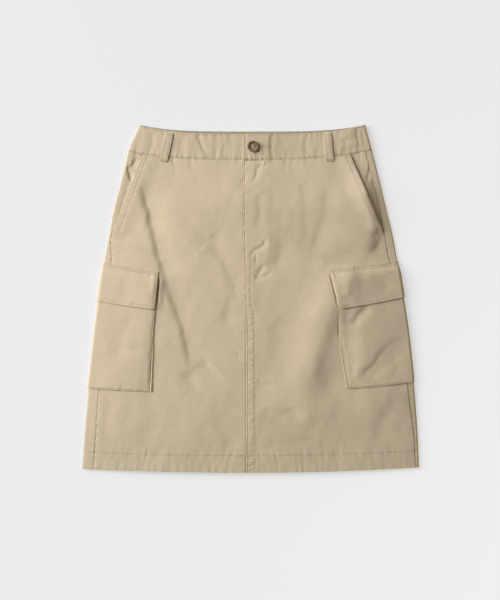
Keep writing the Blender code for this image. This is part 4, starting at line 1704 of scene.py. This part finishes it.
@dataclass
class CargoPocket(Half):
    """A cargo pocket: its body and flap, wrapped round the side fold, and the folded gusset beside it."""

    length: float = 180.0
    fold_at: float = 104.0
    puff: float = 0.5
    corner: float = 4.5
    gusset_shows: float = 5.0
    gusset_under: float = 14.0
    flap_topstitch: float = 4.4
    flap_rise: float = 0.3
    flap_set_back: float = 1.2
    gusset_width: float = 20.0

    def _net(
        self, start: str, end: str, spacing: float, focuses: tuple[Focus, ...], set_back: float = 0.0
    ) -> Array:
        """Lays a net between two cross lines, from the pocket's inner edge round the fold to the back.

        Args:
            start: the upper cross line.
            end: the lower one.
            spacing: the usual distance between points.
            focuses: where rows are closer together.
            set_back: how far outside the pocket's inner edge the net begins.

        Returns:
            The points.
        """
        form, side = self.form, self.side
        rows = form.rows(start, end, spacing, focuses)
        shares = graded(self.length, spacing + 0.3, (Focus(0, 0.5, 12), Focus(self.fold_at, 1.0, 26)))
        back = -(BODY_FOLD.under_arc + BACK_POCKETS[side] - BODY_FOLD.under_reach)
        return form.net(rows, shares, lambda y: (form.arc_at(form.pocket_edge(y) + set_back, y), back))

    def _out(self, points: Array) -> Array:
        """How far the body stands off the panel: two plies and a puff on the front, one behind.

        Args:
            points: the body's net.

        Returns:
            The distance at each point.
        """
        across = lengths_along(points, 1)
        y = points[..., 1]
        from_fold = self.form.arc_at(self.form.pocket_edge(y), y) - across
        in_front = ease(8, 60, from_fold)
        ply = PLY + (SOLID_PLY - PLY) * (1 - ease(2, 40, from_fold))
        puff = self.puff * ease(0, 5, across) * ease(0, 90, from_fold)
        return ply * (1 + in_front) + puff * in_front

    def _rounded_corner(self, points: Array) -> Array:
        """Rounds the lower inner corner of a net.

        Args:
            points: the net.

        Returns:
            The net with its corner rounded.
        """
        across, down = lengths_along(points, 1), lengths_along(points, 0)
        first = np.clip(self.corner - across, 0, None) / self.corner
        second = np.clip(self.corner - (down[-1:] - down), 0, None) / self.corner
        inward, upward = unit(np.gradient(points, axis=1)), unit(-np.gradient(points, axis=0))
        pull_in = self.corner * first * (1 - np.sqrt(1 - second**2 / 2))
        pull_up = self.corner * second * (1 - np.sqrt(1 - first**2 / 2))
        return points + inward * pull_in[..., None] + upward * pull_up[..., None]

    def _below(self, *kinds: str) -> list[str]:
        """The nodes of these kinds on the pocket's half."""
        return [f"{kind}_{self.side.word}" for kind in kinds]

    def build_body(self) -> Made:
        """Builds the pocket's body.

        Returns:
            The body and its cloth.
        """
        side = self.side
        points = self._net("pocket_mouth", "pocket_bottom", 1.7, (Focus(168, 0.6, 8),))
        plain = Cloth(side, points)
        out = self._out(points)
        low = np.minimum(out, SOLID_PLY)
        out = low + (out - low) * ease(0, 16, plain.distance[Edge.BOTTOM])
        above = points[..., 2] > BODY_FOLD.edge_height
        out += crease_relief(POCKET_CREASES[side], points[..., 0], points[..., 1], 31) * above
        plain.moved(np.maximum(out, 0.8 * PLY))
        seams = (
            Seam(Edge.FIRST, 1.6, groove=0.15, pucker=0.25, pitch=12, reach=5),
            Seam(Edge.BOTTOM, 1.8, groove=0.22, pucker=0.25, pitch=10, reach=7),
            Seam(Edge.LAST, 1.8, groove=0.3, pucker=0.0),
        )
        edges = (Edge.FIRST, Edge.BOTTOM)
        cloth = Cloth(side, plain.points, rounded=edges, seams=seams, seed=100 + side.value, round_depth=0.3)
        cloth.keep_above_floor()
        return finished(cloth, f"cargo_pocket_{side.word}", self._below("front", "back", "cargo_gusset"))

    def build_flap(self) -> Made:
        """Builds the flap.

        Returns:
            The flap and its cloth.
        """
        side = self.side
        focuses = (Focus(0, 0.6, 8), Focus(58, 0.6, 8))
        set_back = self.flap_set_back if side is Side.LEFT else 0.0
        points = self._net("flap_top", "flap_bottom", 1.5, focuses, set_back)
        plain = Cloth(side, points)
        drop = ease(0, 22, plain.distance[Edge.TOP])
        body = self._out(points)
        out = np.minimum(body, SOLID_PLY) + (body + self.flap_rise) * drop
        above = points[..., 2] > BODY_FOLD.edge_height
        out += crease_relief(FLAP_CREASES[side], points[..., 0], points[..., 1], 37) * above
        plain.moved(np.maximum(out, 0.8 * PLY))
        around = {"groove": 0.09, "pucker": 0.15, "pitch": 10, "reach": 5}
        ropes = {"rope": 0.8, "rope_reach": 4}
        seams = (
            Seam(Edge.TOP, 1.5, groove=0.25, pucker=0.16, pitch=6, reach=4, slant=0.7, **ropes),
            Seam(Edge.TOP, 5.2, groove=0.35, pucker=0.16, pitch=5, reach=4),
            Seam(Edge.FIRST, self.flap_topstitch, **around),
            Seam(Edge.BOTTOM, self.flap_topstitch, **around),
            Seam(Edge.LAST, self.flap_topstitch, groove=0.2, pucker=0.0),
        )
        rounded = (Edge.TOP, Edge.FIRST, Edge.BOTTOM) if side is Side.LEFT else (Edge.BOTTOM,)
        shaped = self._rounded_corner(plain.points)
        cloth = Cloth(side, shaped, TURNED_TWILL, rounded, seams, seed=120 + side.value, round_depth=0.25)
        cloth.keep_above_floor()
        return finished(cloth, f"cargo_flap_{side.word}", self._below("cargo_pocket", "front", "back"))

    def _gusset_reach(self, y: Array) -> tuple[Array, Array]:
        """The cloth from the fold's edge to the gusset's two edges.

        Args:
            y: heights up the skirt.

        Returns:
            The lengths to its outer edge, which shows more lower down, and to its inner one.
        """
        form = self.form
        top, bottom = form.middle("flap_bottom") + 18, form.middle("pocket_bottom") + 30
        shows = self.gusset_shows * (0.15 + 0.85 * ease(top, bottom, y))
        start = form.arc_at(form.pocket_edge(y) - shows, y)
        return start, start - (shows + self.gusset_under)

    def build_gusset(self) -> Made:
        """Builds the gusset, a rolled strip that comes out from under the body's inner edge.

        Returns:
            The gusset and its cloth.
        """
        form, side = self.form, self.side
        rows = form.rows("flap_bottom", "pocket_bottom", 1.8, (Focus(122, 0.6, 8),))
        shares = graded(self.gusset_width, 0.9, (Focus(2, 0.35, 7),))
        plain = Cloth(side, form.net(rows, shares, self._gusset_reach))
        across, from_bottom = plain.distance[Edge.FIRST], plain.distance[Edge.BOTTOM]
        height = 1.1 if side is Side.LEFT else 0.6
        roll = 0.3 + height * np.exp(-(((across - 2.2) / 1.2) ** 2))
        if side is Side.LEFT:
            roll += np.exp(-(((across - 2.8) / 1.9) ** 2) - ((from_bottom - 7) / 5.5) ** 2)
        plain.moved(roll)
        seams = (Seam(Edge.FIRST, 1.0, groove=0.1, pucker=0.2, pitch=9, reach=3, stitched=False),)
        cloth = Cloth(side, plain.points, 0.6, (), seams, seed=140 + side.value)
        return finished(cloth, f"cargo_gusset_{side.word}", self._below("front"))


@dataclass
class BeltLoop:
    """A belt loop: a narrow stitched strip over the waistband."""

    form: HalfForm
    place: LoopPlace
    length: float = 48.0
    width: float = 12.0
    arch: float = 0.9

    def build(self) -> Made:
        """Builds the loop.

        Returns:
            The loop and its cloth.
        """
        place = self.place
        share = graded(self.length, 1.5, (Focus(0, 0.6, 6), Focus(self.length, 0.6, 6)))[:, None]
        across = graded(self.width, 1.0, (Focus(0, 0.45, 4), Focus(self.width, 0.45, 4))) - 0.5
        run = np.array([place.bottom_x - place.top_x, place.bottom_y - place.top_y])
        way = run / np.linalg.norm(run)
        x = place.top_x + run[0] * share - way[1] * across * self.width
        y = place.top_y + run[1] * share + way[0] * across * self.width
        facing = Side.LEFT if place.on_back else Side.RIGHT
        if place.on_back:
            z = np.zeros(np.broadcast(x, y).shape)
        else:
            z = self.form.band_level(np.abs(x), y) + SOLID_LOOP_LIFT + LOOP_CLOTH + TRIM
            ends = ease(0, 0.16, share) * ease(0, 0.16, 1 - share)
            z = z + self.arch * ends - 1.5 * ease(0.86, 1.0, share)
        points = np.stack(np.broadcast_arrays(x, y, z), axis=-1)
        if place.on_back:
            return finished(Cloth(facing, points, LOOP_CLOTH, seed=160), place.node, ["floor"])
        long_edges = (Edge.FIRST, Edge.LAST)
        seams = tuple(Seam(edge, 2.0, groove=0.3, pucker=0.12, pitch=9, reach=3) for edge in long_edges)
        cloth = Cloth(facing, points, LOOP_CLOTH, tuple(Edge), seams, seed=160)
        return finished(cloth, place.node, [f"waistband_{place.side.word}"])


@dataclass
class Sewing:
    """Threads on the cloth: rows of stitches, and the close bars that lock the seams' ends."""

    stitch: float = 2.5
    pitch: float = 3.3
    bar_pitch: float = 0.6
    bar_lean: float = 0.2
    sink: float = 0.25
    radius: float = 0.2
    sides: int = 5
    starts: list[Array] = field(default_factory=list)
    ends: list[Array] = field(default_factory=list)
    ups: list[Array] = field(default_factory=list)

    def sew(self, cloth: Cloth) -> None:
        """Lays the stitches of every seam of a piece whose thread shows.

        Args:
            cloth: the piece.
        """
        for seam in cloth.seams:
            if not seam.stitched:
                continue
            points, normals = cloth.line(seam.edge, seam.inset)
            keep = (points[:, 1] > seam.lowest) & (points[:, 1] < seam.highest)
            if keep.sum() > 2:
                self.row(points[keep], normals[keep])

    def row(self, points: Array, normals: Array) -> None:
        """Lays stitches end to end along a line.

        Args:
            points: the line's points.
            normals: the direction out of the cloth at each.
        """
        lengths = np.concatenate(([0], np.cumsum(np.linalg.norm(np.diff(points, axis=0), axis=1))))
        first = np.arange(0.4, lengths[-1] - self.pitch, self.pitch)
        for found, where, values in (
            (self.starts, first, points),
            (self.ends, first + self.stitch, points),
            (self.ups, first, normals),
        ):
            found.append(np.stack([np.interp(where, lengths, values[:, axis]) for axis in range(3)], axis=1))

    def bar(self, cloth: Cloth, bar: Bar) -> None:
        """Lays a bar of close stitches on a piece of cloth.

        Args:
            cloth: the cloth.
            bar: the bar, seen from above.
        """
        run = np.array([bar.end[0] - bar.start[0], bar.end[1] - bar.start[1], 0.0])
        length = float(np.linalg.norm(run))
        way = run / length
        across = np.array([-way[1], way[0], 0.0])
        count = max(4, round(length / self.bar_pitch))
        places = np.array([*bar.start, 0.0]) + run * np.linspace(0, 1, count)[:, None]
        flat = cloth.points.reshape(-1, 3)
        normals = cloth.outward().reshape(-1, 3)
        for place in places:
            nearest = int(np.argmin(np.hypot(flat[:, 0] - place[0], flat[:, 1] - place[1])))
            middle = np.array([place[0], place[1], flat[nearest, 2] + 0.1])
            self.starts.append((middle - across * bar.width / 2 - way * self.bar_lean)[None])
            self.ends.append((middle + across * bar.width / 2 + way * self.bar_lean)[None])
            self.ups.append(normals[nearest][None])

    def build(self, name: str, material: Material) -> Object:
        """Makes all the stitches laid so far one mesh.

        Args:
            name: the object's name.
            material: its thread.

        Returns:
            The object.
        """
        start, end, up = (np.concatenate(parts) for parts in (self.starts, self.ends, self.ups))
        way = end - start
        across = unit(np.cross(way, up))
        turns = np.arange(self.sides) * math.tau / self.sides
        ring = np.cos(turns)[None, :, None] * across[:, None] + np.sin(turns)[None, :, None] * up[:, None]
        parts = [start - up * self.sink]
        for share, thick in ((0.12, 0.75), (0.5, 1.0), (0.88, 0.75)):
            centre = start + way * share + up * self.radius * (thick - 0.65)
            parts += list((centre[:, None] + ring * self.radius * thick).swapaxes(0, 1))
        parts.append(end - up * self.sink)
        corners = np.stack(parts, axis=1)
        corners[..., 2] = np.maximum(corners[..., 2], 0)
        per_stitch = corners.shape[1]
        last = per_stitch - 1
        one, two, three = (1 + ring_number * self.sides for ring_number in range(3))
        faces = []
        for step in range(self.sides):
            after = (step + 1) % self.sides
            faces += [
                (0, one + after, one + step, one + step),
                (one + step, one + after, two + after, two + step),
                (two + step, two + after, three + after, three + step),
                (three + step, three + after, last, last),
            ]
        offsets = np.arange(len(start))[:, None, None] * per_stitch
        numbers = (np.array(faces)[None] + offsets).reshape(-1, 4)
        listed = [tuple(dict.fromkeys(face)) for face in numbers.tolist()]
        mesh = bpy.data.meshes.new(name)
        mesh.from_pydata((corners.reshape(-1, 3) * MM).tolist(), [], listed)
        shape = bmesh.new()
        shape.from_mesh(mesh)
        bmesh.ops.recalc_face_normals(shape, faces=shape.faces)
        shape.to_mesh(mesh)
        shape.free()
        mesh.shade_smooth()
        mesh.materials.append(material)
        piece = placed(name, mesh)
        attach(piece, "root")
        return piece


@dataclass
class WaistButton:
    """A four-hole horn button with a raised rim, sewn on with thread."""

    sides: int = 64
    rim: float = 2.1
    dish: float = 1.0
    hole: float = 0.95
    hole_spread: float = 1.75
    bevel: float = 0.55
    strands: tuple[float, ...] = (-0.42, 0.0, 0.42)

    def build(self, horn: Material, thread: Material) -> Object:
        """Builds the button where the frame has it, and its thread.

        Args:
            horn: the button's finish.
            thread: the thread's finish.

        Returns:
            The button.
        """
        low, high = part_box("waist_button")
        centre = (low + high) / 2
        radius, height = (high.x - low.x) / 2, high.z - low.z
        deselect()
        bpy.ops.mesh.primitive_cylinder_add(vertices=self.sides, radius=radius, depth=height, location=centre)
        piece = bpy.context.object
        piece.name = "skirt_waist_button"
        bpy.ops.object.mode_set(mode="EDIT")
        self._select_face(piece, top=True)
        bpy.ops.mesh.inset(thickness=self.rim * MM)
        bpy.ops.mesh.extrude_region_move(TRANSFORM_OT_translate={"value": (0, 0, -self.dish * MM)})
        bpy.ops.mesh.inset(thickness=0.9 * MM)
        bpy.ops.transform.translate(value=(0, 0, -0.2 * MM))
        bpy.ops.object.mode_set(mode="OBJECT")
        self._select_face(piece, top=False)
        bpy.ops.object.mode_set(mode="EDIT")
        bpy.ops.mesh.inset(thickness=1.1 * MM)
        bpy.ops.object.mode_set(mode="OBJECT")
        bpy.ops.object.transform_apply(location=True, rotation=True, scale=True)
        self._drill(piece, centre, height)
        round_edges = piece.modifiers.new("round edges", "BEVEL")
        round_edges.width = self.bevel * MM
        round_edges.segments = 3
        round_edges.angle_limit = math.radians(35)
        only(piece)
        bpy.ops.object.modifier_apply(modifier=round_edges.name)
        bpy.ops.object.shade_smooth_by_angle(angle=math.radians(40))
        piece.data.materials.clear()
        piece.data.materials.append(horn)
        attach(piece, "root")
        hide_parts("waist_button")
        self._thread(centre, high.z, thread)
        return piece

    def _select_face(self, piece: Object, top: bool) -> None:
        """Selects only the button's top or bottom face.

        Args:
            piece: the button.
            top: whether it is the top one.
        """
        mode = piece.mode
        bpy.ops.object.mode_set(mode="OBJECT")
        for part in (piece.data.vertices, piece.data.edges, piece.data.polygons):
            part.foreach_set("select", [False] * len(part))
        way = 1 if top else -1
        chosen = max(piece.data.polygons, key=lambda face: (round(way * face.normal.z, 2), face.area))
        chosen.select = True
        bpy.ops.object.mode_set(mode=mode)

    def _drill(self, piece: Object, centre: Vector, height: float) -> None:
        """Cuts the four holes.

        Args:
            piece: the button.
            centre: its middle, in metres.
            height: its height, in metres.
        """
        spread = self.hole_spread * MM
        for way_x, way_y in itertools.product((-1, 1), repeat=2):
            place = centre + Vector((way_x * spread, way_y * spread, 0.0))
            deselect()
            bpy.ops.mesh.primitive_cylinder_add(
                vertices=16, radius=self.hole * MM, depth=3 * height, location=place
            )
            drill = bpy.context.object
            cut = piece.modifiers.new("hole", "BOOLEAN")
            cut.operation = "DIFFERENCE"
            cut.object = drill
            only(piece)
            bpy.ops.object.modifier_apply(modifier=cut.name)
            bpy.data.objects.remove(drill)

    def _thread(self, centre: Vector, top: float, material: Material) -> None:
        """Lays the thread through the holes.

        Args:
            centre: the button's middle, in metres.
            top: the height of the button's rim, in metres.
            material: the thread's finish.
        """
        sewing = Sewing(radius=0.33, sides=7)
        x, height = centre.x / MM, top / MM - self.dish - 0.1
        reach = self.hole_spread + 0.3
        for way, strand in itertools.product((-1, 1), self.strands):
            y = centre.y / MM + way * self.hole_spread + strand
            sewing.starts.append(np.array([[x - reach, y, height]]))
            sewing.ends.append(np.array([[x + reach, y, height]]))
            sewing.ups.append(np.array([[0.0, 0.0, 1.0]]))
        sewing.build("skirt_button_thread", material)


@dataclass(frozen=True)
class Window:
    """A large soft light that faces the skirt; its azimuth is anticlockwise from +X."""

    name: str
    azimuth: float
    elevation: float
    distance: float
    size: float
    power: float
    colour: tuple[float, float, float] = (0.99, 1.0, 1.05)

    def build(self) -> None:
        """Adds the light to the scene."""
        data = bpy.data.lights.new(self.name, "AREA")
        data.energy, data.color, data.size = self.power, self.colour, self.size
        light = placed(self.name, data)
        high, turn = math.radians(self.elevation), math.radians(self.azimuth)
        flat = self.distance * math.cos(high)
        light.location = (flat * math.cos(turn), flat * math.sin(turn), self.distance * math.sin(high))
        light.rotation_euler = (0.0, math.radians(90 - self.elevation), turn)
        light.visible_camera = False


@dataclass
class Studio:
    """A plain pale floor under soft light, and the camera straight above."""

    windows: tuple[Window, ...] = (
        Window("window", azimuth=148, elevation=33, distance=3.3, size=2.6, power=152),
        Window("low_window", azimuth=172, elevation=20, distance=3.2, size=1.3, power=43),
    )
    towards_light: tuple[float, float, float] = (-0.85, 0.53, 0.0)
    floor_size: float = 30.0
    floor_tone: float = 0.36
    floor_glow: float = 0.5
    floor_evening: float = 0.146
    floor_span: float = 0.7
    floor_near: float = 0.6
    far_tone: float = 0.12
    far_glow: float = 0.727
    view_height: float = 0.93
    lens: float = 100.0
    sensor: float = 36.0
    aim: tuple[float, float] = (-0.0003, -0.0023)
    cloth_height: float = 0.008

    def _floor(self) -> None:
        """Builds the floor, which glows a little, less so on the lit side, and stays evenly pale."""
        deselect()
        bpy.ops.mesh.primitive_plane_add(size=self.floor_size, location=(0, 0, 0))
        floor = bpy.context.object
        floor.name = "floor"
        paper, graph, shader = start_material(
            "pale_paper", Roughness=1.0, Specular_IOR_Level=0.0, Emission_Color=(1, 1, 1, 1)
        )
        place = graph.node("ShaderNodeTexCoord").outputs["Object"]
        near, span = self.floor_near, self.floor_span
        glow, evening = self.floor_glow, self.floor_evening
        distance = graph.measured("LENGTH", place).outputs["Value"]
        towards = graph.measured("DOT_PRODUCT", place, self.towards_light).outputs["Value"]
        even = graph.ranged(towards, (-span, span), (glow + evening, glow - evening))
        far = graph.ranged(distance, (near, 2 * near), (0.0, 1.0))
        mix = graph.feed(graph.node("ShaderNodeMix"), Factor=far, A=even, B=self.far_glow)
        tone = graph.ranged(distance, (near, 2 * near), (self.floor_tone, self.far_tone))
        graph.feed(shader, Emission_Strength=mix.outputs["Result"], Base_Color=tone)
        floor.data.materials.append(paper)

    def build(self) -> None:
        """Builds the floor, the lights and the camera."""
        scene = bpy.context.scene
        scene.view_settings.view_transform = "Standard"
        self._floor()
        world = bpy.data.worlds.new("soft_room")
        world.use_nodes = True
        graph = Graph(world.node_tree)
        glow = world.node_tree.nodes["Background"]
        graph.feed(glow, Color=(1.0, 0.88, 0.6, 1), Strength=0.17)
        seen = graph.feed(graph.node("ShaderNodeBackground"), Color=(0.83, 0.83, 0.83, 1), Strength=1.0)
        mix = graph.node("ShaderNodeMixShader")
        for number, source in enumerate((graph.node("ShaderNodeLightPath"), glow, seen)):
            graph.give(mix.inputs[number], source.outputs[0])
        graph.tree.links.new(mix.outputs[0], world.node_tree.nodes["World Output"].inputs["Surface"])
        scene.world = world
        for window in self.windows:
            window.build()
        data = bpy.data.cameras.new("camera")
        data.lens, data.sensor_width = self.lens, self.sensor
        camera = placed("camera", data)
        distance = self.view_height * self.lens / self.sensor
        camera.location = (*self.aim, distance + self.cloth_height)
        scene.camera = camera


KHAKI = TwillFinish("khaki_twill", (0.565, 0.468, 0.325))
BAND_KHAKI = TwillFinish("khaki_twill_band", (0.55, 0.455, 0.315), crumple=0.3)
THREAD = ThreadFinish("khaki_thread", (0.56, 0.46, 0.32))
BUTTON_THREAD = ThreadFinish("pale_thread", (0.72, 0.62, 0.46))
HORN = HornFinish("horn", (0.11, 0.06, 0.03), (0.34, 0.24, 0.15))


LOG = logging.getLogger("skirt")


def report(piece: Object) -> None:
    """Logs a finished piece."""
    LOG.info("%s: %d faces", piece.name, len(piece.data.polygons))


def dress(made: Made, material: Material, sewing: Sewing) -> None:
    """Gives a cloth piece its finish, its rows of stitches and its bars.

    Args:
        made: the piece and its cloth.
        material: its finish.
        sewing: where the stitches are laid.
    """
    piece, cloth = made
    piece.data.materials.append(material)
    sewing.sew(cloth)
    for bar in BARS.get(piece.name.removeprefix("skirt_"), ()):
        sewing.bar(cloth, bar)
    report(piece)


def main() -> None:
    """Builds the skirt's looks round the frame."""
    logging.basicConfig(level=logging.INFO, format="%(message)s")
    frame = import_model()
    LOG.info("frame with %d nodes", len(frame["nodes"]))
    for build_group in (build_weave, build_tone, build_wear_and_shade, build_rope):
        build_group()
    khaki, band_khaki, thread = KHAKI.material(), BAND_KHAKI.material(), THREAD.material()
    forms = {side: HalfForm(side) for side in Side}
    sewing = Sewing()
    for form in forms.values():
        for panel in (BackPanel(form), FrontPanel(form), HipFacing(form)):
            dress(panel.build(), khaki, sewing)
        dress(Waistband(form).build(), band_khaki, sewing)
        pocket = CargoPocket(form)
        for build in (pocket.build_gusset, pocket.build_body, pocket.build_flap):
            dress(build(), khaki, sewing)
    for place in LOOPS:
        dress(BeltLoop(forms[place.side], place).build(), band_khaki, sewing)
    report(sewing.build("skirt_stitching", thread))
    report(WaistButton().build(HORN.material(), BUTTON_THREAD.material()))
    Studio().build()


if __name__ == "__main__":
    main()
